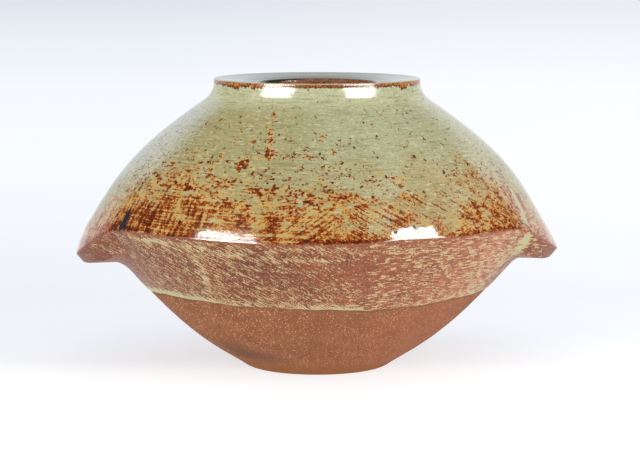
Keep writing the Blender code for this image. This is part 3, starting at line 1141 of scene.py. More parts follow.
def specks():
    """Small round specks, one at most in each cell, in a share of the cells."""

    def build(nodes, vector, scale, share, size):
        noise = nodes.add("ShaderNodeTexNoise", {"Vector": vector, "Scale": 1100.0, "Detail": 1.0})
        warp = nodes.add(
            "ShaderNodeVectorMath",
            {0: noise["Color"], 1: (0.0016, 0.0016, 0.0016), 2: vector},
            operation="MULTIPLY_ADD",
        )[0]
        cell = nodes.add("ShaderNodeTexVoronoi", {"Vector": warp, "Scale": scale})
        chance = nodes.add("ShaderNodeSeparateColor", {0: cell["Color"]})
        radius = nodes.scaled(chance[1], size, nodes.times(size, 0.4))
        inner = nodes.times(radius, 0.55)
        inside = nodes.rise(cell["Distance"], radius, inner)
        return nodes.times(inside, nodes.math("LESS_THAN", chance[0], share))

    kinds = [("Vector", "Vector"), ("Scale", "Float"), ("Share", "Float"), ("Size", "Float")]
    return effect("jar_specks", kinds, "Float", build)


def iron_field():
    """Where the rusty iron breaks through the celadon, from 0 for none to 1 for the darkest."""

    def build(nodes, density):
        bars, left, right = nodes.parts("strokes")
        rows = nodes.parts("wet")[0]
        grain = nodes.streak(1150, 1150, 3)
        field = nodes.blend(0.33, nodes.streak(430, 620, 7), grain)
        east, north, _ = nodes.parts("wound")
        angle = nodes.math("ARCTAN2", north, east)
        phase = nodes.scaled(angle, BAR_COUNT, nodes.times(nodes.streak(90, 60, 15), 14.0))
        comb = nodes.scaled(nodes.math("SINE", phase), 0.10, 0.5)
        comb = nodes.blend(0.5, comb, nodes.streak(300, 90, 22))
        for weight, drawn in (
            (bars, comb),
            (left, nodes.streak(560, 70, 21, nodes.vector("wound_left"))),
            (right, nodes.streak(640, 70, 25, nodes.vector("wound_right"))),
        ):
            drawn = nodes.blend(0.40, drawn, grain)
            field = nodes.blend(nodes.times(weight, 0.85), field, drawn)
        lines = nodes.rise(nodes.streak(50, 760, 5), 0.44, 0.66)
        lines = nodes.times(lines, nodes.times(rows, 0.10))
        field = nodes.minus(field, lines)
        clusters = nodes.minus(nodes.streak(120, 170, 9), 0.5)
        spread = nodes.times(nodes.minus(field, 0.47), 4.2)
        spread = nodes.scaled(clusters, 1.3, spread)
        return nodes.plus(density, spread)

    return effect("jar_iron_field", [("Density", "Float")], "Float", build)


def glaze_skin():
    """Height of a pooled glaze's surface: slow waves and a fine orange peel."""

    def build(nodes, vector):
        waves = nodes.streak(130, 130, 11, vector)
        peel = nodes.streak(900, 900, 13, vector)
        return nodes.scaled(peel, 0.10, waves)

    return effect("jar_glaze_skin", [("Vector", "Vector")], "Float", build)


def celadon():
    """Celadon that turns from grey green to olive, with fine rows of darker brushing. It is darker olive
    at the left, partly as painted shade, pinker low on the right, partly as painted sheen, and greyer at
    the left edge as a painted sheen.
    """

    def build(nodes, height):
        cloud = nodes.streak(45, 45, 17)
        low = nodes.rise(height, 0.136, 0.098)
        # Darker olive at the dome's left: partly the glaze's own colour, partly painted shade on the less
        # lit side.
        left = nodes.times(nodes.parts("wet")[0], 0.8)
        share = nodes.most(left, nodes.times(low, nodes.rise(cloud, 0.30, 0.62)))
        base = nodes.mix(share, "celadon", "olive_celadon")
        # Pinker low on the right: partly the glaze's own pink, partly painted sheen.
        pink_sheen_share = nodes.times(nodes.parts("clay")[2], low)
        base = nodes.mix(nodes.times(pink_sheen_share, 0.55), base, "blush_sheen_celadon")
        # Painted sheen: the glaze turns greyer and paler toward the dome's left edge.
        east = nodes.parts("wound")[0]
        left_sheen = nodes.times(nodes.rise(east, -0.078, -0.104), nodes.rise(height, 0.098, 0.118))
        base = nodes.mix(nodes.times(left_sheen, 0.75), base, "left_sheen_celadon")
        thick = nodes.rise(height, 0.138, 0.147)
        base = nodes.mix(thick, base, "pale_celadon")
        row = nodes.rise(nodes.streak(60, 1000, 19), 0.50, 0.68)
        fleck = nodes.rise(nodes.streak(700, 900, 23), 0.50, 0.75)
        dark = nodes.most(nodes.times(row, 0.62), nodes.times(fleck, 0.6))
        base = nodes.mix(dark, base, "celadon_shade")
        light = nodes.rise(nodes.streak(230, 760, 27), 0.50, 0.76)
        return nodes.mix(nodes.times(light, 0.7), base, "celadon_light")

    return effect("jar_celadon", [("Height", "Float")], "Color", build)


def glaze_spots(nodes):
    """Dark iron spots at the places where the jar has its larger ones."""
    total = None
    ragged = nodes.scaled(nodes.own_streak(900, 900, 33), 0.0016, -0.0008)
    dome = dome_outline(bpy.context.scene.jar_sizes)
    along = lengths_along(dome)
    for degrees, height, size in DARK_SPOTS:
        down = np.interp(-height, -dome[:, 1], along)
        angle = radians(degrees)
        centre = (PATTERN_RADIUS * cos(angle), PATTERN_RADIUS * sin(angle), down)
        ends = {0: nodes.vector("wound"), 1: centre}
        away = nodes.add("ShaderNodeVectorMath", ends, operation="DISTANCE")["Value"]
        away = nodes.plus(away, ragged)
        mark = nodes.rise(away, size * 0.95, size * 0.5)
        total = mark if total is None else nodes.most(total, mark)
    return total


def ragged_ridge():
    """Height over the ridge with an uneven line."""

    def build(nodes, ridge):
        uneven = nodes.scaled(nodes.streak(380, 500, 35), 0.0070, -0.0035)
        return nodes.plus(ridge, uneven)

    return effect("jar_ragged_ridge", [("Ridge", "Float")], "Float", build)


def dome_finish():
    """Glossy celadon over iron, as on the dome and the lugs' tops."""
    nodes = Finish("celadon_over_iron")
    field = nodes.group(iron_field(), {"Density": nodes.value("iron")})
    sparse = nodes.rise(nodes.value("iron"), 0.36, -0.04)
    strength = nodes.scaled(sparse, 0.20, field)
    rust = nodes.ramp(strength, (0.40, "gold"), (0.53, "orange"), (0.72, "rust"), (1.0, "dark_rust"))
    base = nodes.group(celadon(), {"Height": nodes.value("height")})
    patchy = nodes.scaled(nodes.streak(170, 240, 39), 2.4, -1.2)
    warm = nodes.rise(nodes.plus(nodes.value("iron"), patchy), 0.10, 0.62)
    warm = nodes.times(warm, 0.70)
    base = nodes.mix(warm, base, "gold_celadon")
    colour = nodes.mix(nodes.rise(field, 0.36, 0.48), base, rust)
    rusty_specks = nodes.specks(90, 0.45, 0.14)
    colour = nodes.mix(nodes.times(rusty_specks, 0.9), colour, "rust")
    dark_specks = nodes.specks(170, 0.6, 0.15)
    large = glaze_spots(nodes)
    dark = nodes.most(dark_specks, large)
    colour = nodes.mix(nodes.times(dark, 0.9), colour, "speck")
    wet = nodes.parts("wet")
    ragged = nodes.scaled(nodes.streak(600, 300, 29), 1.2, -0.6)
    pool = nodes.times(nodes.rise(nodes.plus(wet[1], ragged), 0.45, 0.7), 0.85)
    colour = nodes.mix(pool, colour, "pool")
    drip = nodes.rise(nodes.plus(wet[2], ragged), 0.40, 0.7)
    colour = nodes.mix(drip, colour, "drip")
    uneven = nodes.group(ragged_ridge(), {"Ridge": nodes.value("ridge")})
    edge = nodes.rise(uneven, 0.0004, 0.0001)
    colour = nodes.mix(nodes.times(edge, 0.8), colour, "ridge")
    nodes.feed(Specular_IOR_Level=nodes.blend(large, 0.5, 0.08))
    roughness = nodes.ramp(field, (0.4, 0.05), (0.9, 0.12))
    roughness = nodes.blend(large, roughness, 0.35)
    nodes.glaze(colour, roughness, 0.00010)
    return nodes.material


def bowl_finish():
    """Brushed pale glaze over brown, and the bare clay below its line."""
    nodes = Finish("brushed_glaze_and_clay")
    grain = nodes.streak(1150, 1150, 31)
    strokes = nodes.streak(1200, 300, 37, nodes.vector("wound_right"))
    rows = nodes.streak(220, 1200, 41)
    drawn = nodes.blend(nodes.value("brushed"), rows, strokes)
    drawn = nodes.blend(0.34, drawn, grain)
    clusters = nodes.minus(nodes.streak(170, 230, 45), 0.5)
    spread = nodes.times(nodes.minus(drawn, 0.507), 4.6)
    spread = nodes.scaled(clusters, 0.7, spread)
    field = nodes.plus(nodes.value("pale"), spread)
    cloud = nodes.streak(90, 60, 43)
    ground = nodes.mix(nodes.rise(cloud, 0.35, 0.65), "slip", "purple_slip")
    ground = nodes.mix(nodes.rise(grain, 0.42, 0.8), ground, "slip_light")
    # Pinker ground at the right: partly the slip's own pink, partly painted sheen.
    pink_sheen_patches = nodes.rise(nodes.streak(160, 1000, 49), 0.42, 0.58)
    pink_sheen_share = nodes.times(nodes.parts("clay")[2], nodes.blend(pink_sheen_patches, 0.30, 0.90))
    ground = nodes.mix(pink_sheen_share, ground, "pink_sheen_slip")
    pale = nodes.mix(nodes.rise(field, 0.66, 1.0), "brushed", "brushed_green")
    glaze = nodes.mix(nodes.rise(field, 0.42, 0.58), ground, pale)
    uneven = nodes.group(ragged_ridge(), {"Ridge": nodes.value("ridge")})
    edge = nodes.rise(uneven, -0.0012, -0.0006)
    glaze = nodes.mix(nodes.times(edge, 0.8), glaze, "ridge")
    iron = nodes.rise(uneven, 0.0002, 0.0005)
    glaze = nodes.mix(iron, glaze, "rust")
    drip = nodes.times(nodes.rise(nodes.parts("wet")[2], 0.35, 0.70), 0.6)
    glaze = nodes.mix(drip, glaze, "drip")
    above = nodes.value("above_coat")
    wobble = nodes.scaled(nodes.streak(420, 420, 47), 0.0016, -0.0008)
    level = nodes.plus(above, wobble)
    bead = nodes.times(nodes.rise(level, 0.0014, 0.0005), nodes.rise(cloud, 0.50, 0.64))
    glaze = nodes.mix(nodes.times(bead, 0.8), glaze, "brushed_green")
    coat = nodes.rise(level, -0.00012, 0.00012)
    clay = clay_colour(nodes, above)
    colour = nodes.mix(coat, clay, glaze)
    rough = nodes.blend(coat, 0.85, 0.46)
    nodes.feed(Coat_Weight=nodes.times(coat, 0.20), Coat_Roughness=0.28, Specular_IOR_Level=0.1)
    skin = nodes.scaled(drawn, 0.6, nodes.times(grain, 0.7))
    nodes.surface(colour, rough, skin, 0.00022)
    return nodes.material


def clay_colour(nodes, above):
    """Bare red clay with pale grit, turning lines, darker grey brown patches low on the left, a darker
    band just below the glaze line, a pinker tone at the right partly as painted sheen, and a tan foot.
    """
    cloud = nodes.streak(60, 110, 53)
    grain = nodes.streak(1300, 1300, 59)
    colour = nodes.mix(nodes.rise(cloud, 0.3, 0.7), "clay", "clay_shade")
    lines = nodes.rise(nodes.streak(12, 900, 61), 0.5, 0.75)
    colour = nodes.mix(nodes.times(lines, 0.25), colour, "clay_shade")
    colour = nodes.mix(nodes.rise(grain, 0.50, 0.22), colour, "clay_dark")
    grit = nodes.specks(840, 0.85, 0.38)
    colour = nodes.mix(nodes.times(grit, 0.85), colour, "grit")
    pits = nodes.specks(600, 0.7, 0.30)
    colour = nodes.mix(nodes.times(pits, 0.6), colour, "grey_brown")
    grey_brown, foot, pink_sheen_share = nodes.parts("clay")
    # Pinker clay at the right: partly the clay's own pink, partly painted sheen.
    colour = nodes.mix(nodes.times(pink_sheen_share, 0.5), colour, "clay_pink_sheen")
    colour = nodes.mix(nodes.times(foot, 0.8), colour, "clay_tan")
    # Darker grey brown patches low on the left.
    colour = nodes.mix(nodes.times(grey_brown, 0.9), colour, "grey_brown")
    # Darker just below the glaze line.
    under = nodes.rise(above, -0.0030, -0.0002)
    return nodes.mix(nodes.times(under, 0.45), colour, "grey_brown")


def mouth_finish():
    """Pale celadon on the neck and the flange, with a rusty line at the rim and a brown throat. The flange
    is paler at its sides and darker in its middle as a painted reflection, and darkest toward the lip,
    partly pooled glaze and partly painted shade.
    """
    nodes = Finish("mouth_celadon")
    rim = nodes.value("rim")
    base = nodes.group(celadon(), {"Height": nodes.value("height")})
    sideways = nodes.math("ABSOLUTE", nodes.parts("wound")[0])
    # Painted reflection: the flange is paler at its sides and darker in its middle.
    dish = nodes.mix(nodes.rise(sideways, 0.070, 0.106), "flange", "flange_sheen")
    # Darker toward the lip: partly pooled glaze, partly painted shade where the dish reflects less.
    dish = nodes.mix(nodes.rise(rim, -0.0105, -0.0205), dish, "lip")
    base = nodes.mix(nodes.rise(rim, -0.0004, -0.0030), base, dish)
    drops = nodes.value("drops")
    dribble = nodes.scaled(nodes.streak(170, 50, 67), 0.0100, -0.0042)
    dribble = nodes.times(dribble, drops)
    away = nodes.minus(rim, dribble)
    away = nodes.minus(away, 0.0010)
    away = nodes.scaled(nodes.streak(620, 620, 69), 0.0020, away)
    outer = nodes.rise(away, 0.0016, 0.0012)
    inner = nodes.rise(rim, -0.0007, -0.0001)
    rust = nodes.times(outer, inner)
    mottle = nodes.streak(800, 1000, 71)
    shade = nodes.scaled(nodes.rise(away, -0.0004, 0.0011), -0.34, mottle)
    shade = nodes.scaled(mottle, 0.7, nodes.minus(shade, 0.26))
    rusty = nodes.ramp(shade, (0.23, "rim_dark"), (0.42, "rim_rust"), (0.64, "rim_gold"))
    colour = nodes.mix(rust, base, rusty)
    edge = nodes.scaled(nodes.own_streak(420, 300, 75), 0.0040, -0.0020)
    edge = nodes.scaled(drops, 0.0030, nodes.plus(rim, edge))
    throat = nodes.rise(edge, -0.0233, -0.0241)
    brown = nodes.mix(nodes.rise(mottle, 0.35, 0.62), "throat_dark", "throat")
    colour = nodes.mix(throat, colour, brown)
    rusty_specks = nodes.specks(110, 0.3, 0.11)
    colour = nodes.mix(nodes.times(rusty_specks, 0.8), colour, "rust")
    dark_specks = nodes.specks(150, 0.4, 0.11)
    colour = nodes.mix(nodes.times(dark_specks, 0.85), colour, "speck")
    inward = nodes.rise(rim, 0.0004, -0.0012)
    smooth = nodes.blend(inward, nodes.blend(mottle, 0.10, 0.20), 0.06)
    roughness = nodes.blend(throat, smooth, 0.6)
    gloss = nodes.blend(throat, nodes.blend(inward, 0.44, 0.60), 0.12)
    nodes.feed(Specular_IOR_Level=gloss)
    nodes.glaze(colour, roughness, 0.00006)
    return nodes.material


def inside_finish():
    """Rust-brown liner glaze."""
    nodes = Finish("liner_glaze")
    mottle = nodes.streak(420, 520, 73)
    colour = nodes.ramp(mottle, (0.40, "throat_dark"), (0.54, "throat"))
    roughness = nodes.ramp(mottle, (0.3, 0.46), (0.8, 0.60))
    nodes.feed(Specular_IOR_Level=0.12)
    nodes.glaze(colour, roughness, 0.00022)
    return nodes.material


def made_once(name, build):
    """The material of this name, made the first time that it is asked for."""
    return bpy.data.materials.get(name) or build()


def joined(*parts):
    """Rings of several parts as one run."""
    return np.concatenate(parts)


def blank(place):
    """Normals left to the faces, for rings that have none of their own."""
    return np.full(place.shape, np.nan)


def outside_traits(skin, first, last):
    """Surface values of the outside between two rings."""
    return {name: values[first : last + 1] for name, values in skin["traits"].items()}


def inner_traits(skin, place, down_start):
    """Pattern values of the inside rings, which lie beyond the outside's own."""
    rings, columns = place.shape[:2]
    turn = np.broadcast_to(skin["turn"], (rings, columns))
    down = down_start + np.arange(rings)[:, None] * INSIDE_RING_STEP
    down = np.broadcast_to(down, (rings, columns))
    traits = {}
    for name, values in skin["traits"].items():
        if name.startswith("wound"):
            traits[name] = wound(turn, down)
        else:
            traits[name] = np.zeros((rings, columns, *values.shape[2:]))
    return traits


def joined_traits(first, second):
    """Surface values of two runs of rings as one."""
    return {name: joined(first[name], second[name]) for name in first}


def waist_ring(sizes, skin, offset):
    """Hidden ring inside the wall between the two halves."""
    flat = (sizes.waist_radius - WAIST_RING_INSET, sizes.waist_height + offset)
    ring = ridge_raised(sizes, np.full((1, COLUMNS, 2), flat), skin["turn"])
    return round_axis(ring[:, :, 0], ring[:, :, 1], skin["turn"])


def sunk_patch(sizes, skin, first, last):
    """Outside rings of a body piece, with what lies behind the lugs sunk under them."""
    numbers = skin["numbers"]
    place = skin["place"][first : last + 1].copy()
    hidden = plain_patch(sizes, skin, BODY_SINK)
    covered = np.zeros(COLUMNS, bool)
    for lug in (LEFT_LUG, RIGHT_LUG):
        covered[lug_columns(skin, lug)[1:-1]] = True
    top = numbers["patch_top"]
    for ring in range(max(first, top + 1), min(last + 1, numbers["patch_foot"])):
        place[ring - first, covered] = hidden[ring - top, covered]
    return place


def make_dome(sizes, outside, inside):
    """The dome, from the neck to the waist and back up its inside."""
    skin = outer_skin(sizes)
    first, last = skin["numbers"]["neck"], skin["numbers"]["crest"]
    outer = sunk_patch(sizes, skin, first, last)
    inner = turned(inner_rings(sizes)[1], skin["turn"])[::-1]
    seat = turned(inner_rings(sizes)[0][-1:], skin["turn"])
    hidden = joined(waist_ring(sizes, skin, SEAM_HALF_GAP), inner, seat)
    place = joined(outer, hidden)
    normal = joined(skin["normal"][first : last + 1], blank(hidden))
    traits = joined_traits(outside_traits(skin, first, last), inner_traits(skin, hidden, 0.13))
    finishes = [(outside, len(outer)), (inside, len(place))]
    piece = add_mesh("jar_dome", place, normal, traits, finishes, True, True)
    stand_for(piece, "upper_dome")


def make_mouth(sizes, outside, inside):
    """The throat, the lip, the flange and the neck, and back along the flange's underside."""
    skin = outer_skin(sizes)
    first, last = 0, skin["numbers"]["neck"]
    inner = turned(inner_rings(sizes)[0][1:], skin["turn"])[::-1]
    place = joined(skin["place"][first : last + 1], inner)
    normal = joined(skin["normal"][first : last + 1], blank(inner))
    traits = joined_traits(outside_traits(skin, first, last), inner_traits(skin, inner, 0.11))
    throat = int((skin["traits"]["rim"][:, 0] < -THROAT_REACH).sum())
    finishes = [(inside, throat), (outside, last + 1), (inside, len(place))]
    piece = add_mesh("jar_mouth", place, normal, traits, finishes, True, True)
    stand_for(piece, "mouth_collar")


def make_bowl(sizes, outside, inside):
    """The bowl, from the floor's middle up its inside, over the waist and down to the foot."""
    skin = outer_skin(sizes)
    first, last = skin["numbers"]["crest"], skin["numbers"]["middle"]
    inner = turned(inner_rings(sizes)[2], skin["turn"])[::-1]
    meeting = turned(inner_rings(sizes)[1][-1:], skin["turn"])
    hidden = joined(inner, meeting, waist_ring(sizes, skin, -SEAM_HALF_GAP))
    place = joined(hidden, sunk_patch(sizes, skin, first, last))
    normal = joined(blank(hidden), skin["normal"][first : last + 1])
    traits = joined_traits(inner_traits(skin, hidden, 0.20), outside_traits(skin, first, last))
    finishes = [(inside, len(hidden) - 1), (outside, len(place))]
    poles = (0, len(place) - 1)
    piece = add_mesh("jar_bowl", place, normal, traits, finishes, False, True, poles)
    stand_for(piece, "lower_bowl")


def make_lug(sizes, name, node, lug, top, face):
    """One solid lug, whose back follows the plain body."""
    skin = outer_skin(sizes)
    numbers = skin["numbers"]
    first, last = numbers["patch_top"], numbers["patch_foot"]
    columns = lug_columns(skin, lug)
    back = plain_patch(sizes, skin, LUG_SINK)[1:-1][::-1][:, columns]
    place = joined(skin["place"][first : last + 1][:, columns], back)
    normal = joined(skin["normal"][first : last + 1][:, columns], blank(back))
    traits = {}
    for trait, values in outside_traits(skin, first, last).items():
        patch = values[:, columns]
        traits[trait] = joined(patch, patch[1:-1][::-1])
    finishes = [(top, numbers["crest"] - first), (face, len(place))]
    piece = add_mesh(name, place, normal, traits, finishes, True, False)
    stand_for(piece, node)


def length(name, description, default):
    """Length in metres."""
    return FloatProperty(name=name, description=description, default=default, unit="LENGTH")


class JarSizes(PropertyGroup):
    """Sizes of the jar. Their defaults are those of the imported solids."""

    waist_radius: length(
        "Waist radius", "Radius of the sharp ridge round the waist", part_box("upper_dome")[1].y
    )
    waist_height: length("Waist height", "Height of the ridge above the foot", 0.0798)
    jar_height: length("Jar height", "Height of the rim above the foot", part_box("mouth_collar")[1].z)
    rim_radius: length("Rim radius", "Radius of the mouth flange", 0.0552)
    mouth_radius: length("Mouth radius", "Radius of the opening inside the flange", 0.0305)
    foot_radius: length("Foot radius", "Radius of the flat ring that the jar stands on", 0.0334)
    wall: length("Wall", "Thickness of the thrown wall", 0.0062)
    left_lug_drop: length("Left lug drop", "How far the left lug's tip hangs below the ridge", 0.0189)
    right_lug_drop: length("Right lug drop", "How far the right lug's tip hangs below the ridge", 0.0152)
    coat_height: length(
        "Glaze line height", "Height at which the brushed glaze ends over the bare clay", 0.0437
    )
    coat: length("Glaze thickness", "Thickness of the glaze coat over the clay", 0.00042)
    throwing_rings: length(
        "Throwing rings", "Depth of the rings that the potter's fingers left", 0.00003
    )
    unevenness: length("Unevenness", "Depth of the slow waves in the hand-thrown wall", 0.00025)


def shade(name, description, *colour):
    """Colour as the screen shows it, from three values up to 255."""
    return FloatVectorProperty(
        name=name,
        description=description,
        default=[value / 255 for value in colour],
        subtype="COLOR_GAMMA",
        size=3,
        min=0,
        max=1,
    )


class JarColours(PropertyGroup):
    """Colours of the glazes, the clay and the studio, as the screen shows them."""

    celadon: shade("Celadon", "Grey green of the dome's top", 186, 190, 150)
    olive_celadon: shade("Olive celadon", "Warmer green lower on the dome", 172, 160, 106)
    # Pinker glaze, partly painted sheen.
    blush_sheen_celadon: shade("Blush and sheen celadon", "Pinker glaze with painted sheen low on the dome at the right", 216, 180, 136)
    # Painted grey sheen at the dome's left edge.
    left_sheen_celadon: shade("Left sheen celadon", "Painted grey sheen at the dome's left", 190, 192, 178)
    pale_celadon: shade("Pale celadon", "Thick glaze of the neck", 200, 200, 158)
    celadon_shade: shade("Celadon shade", "Fine darker brushing in the celadon", 138, 130, 84)
    celadon_light: shade("Light celadon", "Fine lighter flecks in the celadon", 224, 218, 178)
    gold_celadon: shade("Gold celadon", "Celadon warmed by the iron under it", 212, 177, 100)
    gold: shade("Gold", "Thin iron at the edge of a rusty mark", 210, 150, 68)
    orange: shade("Orange", "Iron of middle strength", 190, 98, 30)
    rust: shade("Rust", "Strong iron", 140, 60, 16)
    dark_rust: shade("Dark rust", "The strongest iron", 78, 32, 10)
    speck: shade("Speck", "Dark iron specks", 44, 34, 20)
    # Partly the thick glaze's own colour, kept dark for the painted reflection in the flange's middle.
    flange: shade("Flange", "Thick glaze in the dished flange", 124, 131, 104)
    # Painted sheen at the flange's sides.
    flange_sheen: shade("Flange sheen", "Painted sheen at the flange's sides", 152, 156, 142)
    # Partly pooled glaze, partly painted shade beside the lip.
    lip: shade("Lip", "Pooled glaze and painted shade beside the mouth's lip", 40, 48, 26)
    pool: shade("Pool", "Green pool of glaze by the right lug", 196, 194, 146)
    drip: shade("Drip", "Dark drip by the left lug", 40, 43, 47)
    ridge: shade("Ridge", "Thin glaze where it breaks over the edge", 158, 92, 68)
    slip: shade("Slip", "Brown ground of the brushed band", 122, 64, 37)
    purple_slip: shade("Purple slip", "Purple parts of the brushed band", 104, 54, 35)
    slip_light: shade("Light slip", "Lighter grains of the brushed band", 172, 106, 70)
    # Pinker ground, partly painted sheen.
    pink_sheen_slip: shade("Pink sheen slip", "Pinker ground with painted sheen on the band at the right", 196, 120, 94)
    brushed: shade("Brushed", "Thin pale brush strokes", 210, 174, 126)
    brushed_green: shade("Brushed green", "Thick pale glaze of the band", 184, 184, 140)
    clay: shade("Clay", "Bare fired clay", 158, 100, 67)
    clay_shade: shade("Clay shade", "Darker parts of the clay", 142, 86, 57)
    clay_dark: shade("Dark clay", "Fine dark grain of the clay", 128, 76, 52)
    # Pinker clay, partly painted sheen.
    clay_pink_sheen: shade("Pink sheen clay", "Pinker clay with painted sheen at the right", 164, 103, 77)
    clay_tan: shade("Tan clay", "Golden brown near the foot", 148, 95, 53)
    grit: shade("Grit", "Pale grains in the clay", 222, 176, 132)
    # Darker grey brown patches of the clay.
    grey_brown: shade("Grey brown", "Darker grey brown of the clay", 118, 80, 60)
    rim_rust: shade("Rim rust", "Rusty line round the rim", 140, 66, 24)
    rim_dark: shade("Dark rim", "Darkest parts of the rim's line", 84, 36, 12)
    rim_gold: shade("Rim gold", "Lightest parts of the rim's line", 202, 134, 64)
    throat: shade("Throat", "Brown liner glaze", 190, 106, 48)
    throat_dark: shade("Dark throat", "Darker parts of the liner glaze", 54, 26, 10)


class JAR_OT_mouth(Operator):
    """Makes the neck, the dished flange and the throat"""

    bl_idname = "jar.mouth"
    bl_label = "Mouth"

    def execute(self, context):
        sizes = context.scene.jar_sizes
        outside = made_once("mouth_celadon", mouth_finish)
        make_mouth(sizes, outside, made_once("liner_glaze", inside_finish))
        return {"FINISHED"}


class JAR_OT_dome(Operator):
    """Makes the dome"""

    bl_idname = "jar.dome"
    bl_label = "Dome"

    def execute(self, context):
        sizes = context.scene.jar_sizes
        outside = made_once("celadon_over_iron", dome_finish)
        make_dome(sizes, outside, made_once("liner_glaze", inside_finish))
        return {"FINISHED"}


class JAR_OT_bowl(Operator):
    """Makes the bowl"""

    bl_idname = "jar.bowl"
    bl_label = "Bowl"

    def execute(self, context):
        sizes = context.scene.jar_sizes
        outside = made_once("brushed_glaze_and_clay", bowl_finish)
        make_bowl(sizes, outside, made_once("liner_glaze", inside_finish))
        return {"FINISHED"}


class JAR_OT_lugs(Operator):
    """Makes both lugs"""

    bl_idname = "jar.lugs"
    bl_label = "Lugs"

    def execute(self, context):
        sizes = context.scene.jar_sizes
        top = made_once("celadon_over_iron", dome_finish)
        face = made_once("brushed_glaze_and_clay", bowl_finish)
        make_lug(sizes, "jar_lug_left", "lug_left", LEFT_LUG, top, face)
        make_lug(sizes, "jar_lug_right", "lug_right", RIGHT_LUG, top, face)
        return {"FINISHED"}


def paper():
    """White paper that shines a little by itself and keeps the jar's soft shadow. Its glow holds painted
    light and shade: a soft shadow behind the jar, dimmer at the left and high up the wall, brighter in
    front and at the right.
    """
    nodes = Finish("paper")
    place = nodes.add("ShaderNodeSeparateXYZ", {0: nodes.add("ShaderNodeNewGeometry", {})["Position"]})
    depth = nodes.scaled(place["Y"], 0.4, 0.02)
    left = nodes.ramp(depth, *((at, (*linear(tone), 1)) for at, tone, _ in PAPER_TONES))
    right = nodes.ramp(depth, *((at, (*linear(tone), 1)) for at, _, tone in PAPER_TONES))
    far = nodes.mix(nodes.rise(place["X"], -0.3, 0.35), left, right)
    height = nodes.scaled(nodes.math("ABSOLUTE", place["X"]), -0.62, place["Z"])
    # Painted shade high up the wall, which the glaze reflects.
    far = nodes.mix(nodes.rise(height, 0.55, 1.25), far, (0.13, 0.14, 0.12, 1))
    # Painted light: the glow is stronger in front of the jar and at its right.
    front = nodes.scaled(place["X"], -0.4, place["Y"])
    front = nodes.blend(nodes.rise(front, 0.06, -0.06), 0.70, 0.80)
    nodes.feed(Emission_Color=far, Emission_Strength=front)
    nodes.feed(Base_Color=(0.335, 0.35, 0.365, 1), Roughness=0.9, Specular_IOR_Level=0.0)
    return nodes.material


def room():
    """Even room light, dim for reflections and white for the camera."""
    world = bpy.data.worlds.new("studio")
    world.use_nodes = True
    nodes = Nodes(world.node_tree)
    path = nodes.add("ShaderNodeLightPath", {})
    background = world.node_tree.nodes["Background"]
    strength = nodes.blend(path["Is Glossy Ray"], 0.98, 0.12)
    strength = nodes.blend(path["Is Camera Ray"], strength, 1.0)
    nodes.put(background, {"Strength": strength, "Color": (0.97, 0.98, 1, 1)})
    return world


def make_camera(scene):
    """Looks down a little at the jar's front through a long lens."""
    camera = bpy.data.cameras.new("camera")
    camera.lens = CAMERA_LENS
    camera.sensor_width = SENSOR_WIDTH
    viewer = in_scene("camera", camera)
    back = CAMERA_DISTANCE * cos(CAMERA_PITCH)
    rise = CAMERA_DISTANCE * sin(CAMERA_PITCH)
    viewer.location = (CAMERA_SIDE, -back, CAMERA_AIM_HEIGHT + rise)
    viewer.rotation_euler = (QUARTER_TURN - CAMERA_PITCH, 0, 0)
    scene.camera = viewer
    scene.view_settings.view_transform = "Standard"


def make_floor():
    """Paper that runs from in front of the jar up into the wall behind it."""
    profile = [(PAPER_FRONT, 0.0), (PAPER_BEND, 0.0)]
    for step in range(1, PAPER_BEND_STEPS + 1):
        angle = QUARTER_TURN * step / PAPER_BEND_STEPS
        profile.append((PAPER_BEND + PAPER_BEND * sin(angle), PAPER_BEND - PAPER_BEND * cos(angle)))
    profile.append((2 * PAPER_BEND, PAPER_TOP))
    vertices = [(side * PAPER_HALF_WIDTH, y, z) for y, z in profile for side in (-1, 1)]
    faces = [(2 * i, 2 * i + 1, 2 * i + 3, 2 * i + 2) for i in range(len(profile) - 1)]
    mesh = bpy.data.meshes.new("floor")
    mesh.from_pydata(vertices, [], faces)
    mesh.shade_smooth()
    mesh.materials.append(paper())
    in_scene("floor", mesh)


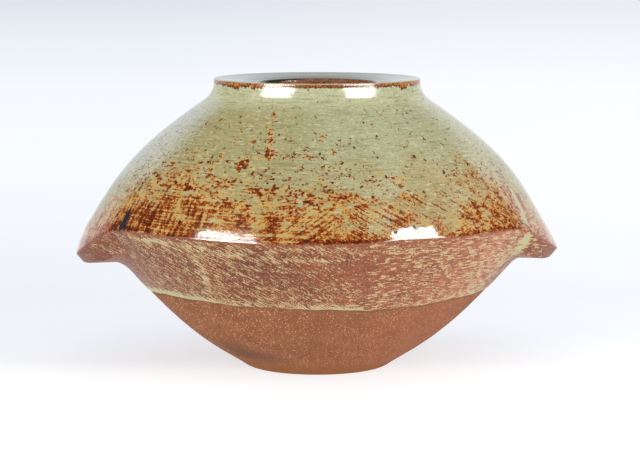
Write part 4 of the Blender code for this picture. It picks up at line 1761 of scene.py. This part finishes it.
def make_soft_box(name, azimuth, width, tall, level, roll, soft):
    """Two lamps in one place: one for the reflections and one for the light."""
    turn = radians(azimuth)
    lean = Matrix.Rotation(turn, 3, "Z") @ Matrix.Rotation(QUARTER_TURN, 3, "X")
    lean = lean @ Matrix.Rotation(radians(roll), 3, "Z")
    for kind, energy in (("gloss", GLOSS_ENERGY), ("soft", soft)):
        light = bpy.data.lights.new(f"{name}_{kind}", "AREA")
        light.shape = "RECTANGLE"
        light.size = width
        light.size_y = tall
        light.energy = energy
        lamp = in_scene(f"{name}_{kind}", light)
        lamp.location = (SOFT_BOX_DISTANCE * sin(turn), -SOFT_BOX_DISTANCE * cos(turn), level)
        lamp.rotation_euler = lean.to_euler()
        lamp.visible_diffuse = kind == "soft"
        lamp.visible_glossy = kind == "gloss"
        lamp.visible_camera = False


class JAR_OT_stage(Operator):
    """Makes the floor, the lamps and the camera"""

    bl_idname = "jar.stage"
    bl_label = "Stage"

    def execute(self, context):
        make_camera(context.scene)
        make_floor()
        for soft_box in SOFT_BOXES:
            make_soft_box(*soft_box)
        context.scene.world = room()
        return {"FINISHED"}


class JAR_PT_panel(Panel):
    """Lists the jar's sizes and the steps that make it"""

    bl_idname = "JAR_PT_panel"
    bl_label = "Stoneware jar"
    bl_space_type = "VIEW_3D"
    bl_region_type = "UI"
    bl_category = "Jar"

    def draw(self, context):
        for step in STEPS:
            self.layout.operator(step.bl_idname)
        for name in JarSizes.__annotations__:
            self.layout.prop(context.scene.jar_sizes, name)
        for name in JarColours.__annotations__:
            self.layout.prop(context.scene.jar_colours, name)


STEPS = (JAR_OT_bowl, JAR_OT_dome, JAR_OT_mouth, JAR_OT_lugs, JAR_OT_stage)
CLASSES = (JarSizes, JarColours, *STEPS, JAR_PT_panel)


def register():
    for item in CLASSES:
        register_class(item)
    bpy.types.Scene.jar_sizes = PointerProperty(type=JarSizes)
    bpy.types.Scene.jar_colours = PointerProperty(type=JarColours)


def unregister():
    del bpy.types.Scene.jar_sizes
    del bpy.types.Scene.jar_colours
    for item in reversed(CLASSES):
        unregister_class(item)


def main():
    """Makes the jar and the studio."""
    register()
    bpy.ops.jar.bowl()
    bpy.ops.jar.dome()
    bpy.ops.jar.mouth()
    bpy.ops.jar.lugs()
    bpy.ops.jar.stage()


if __name__ == "__main__":
    main()
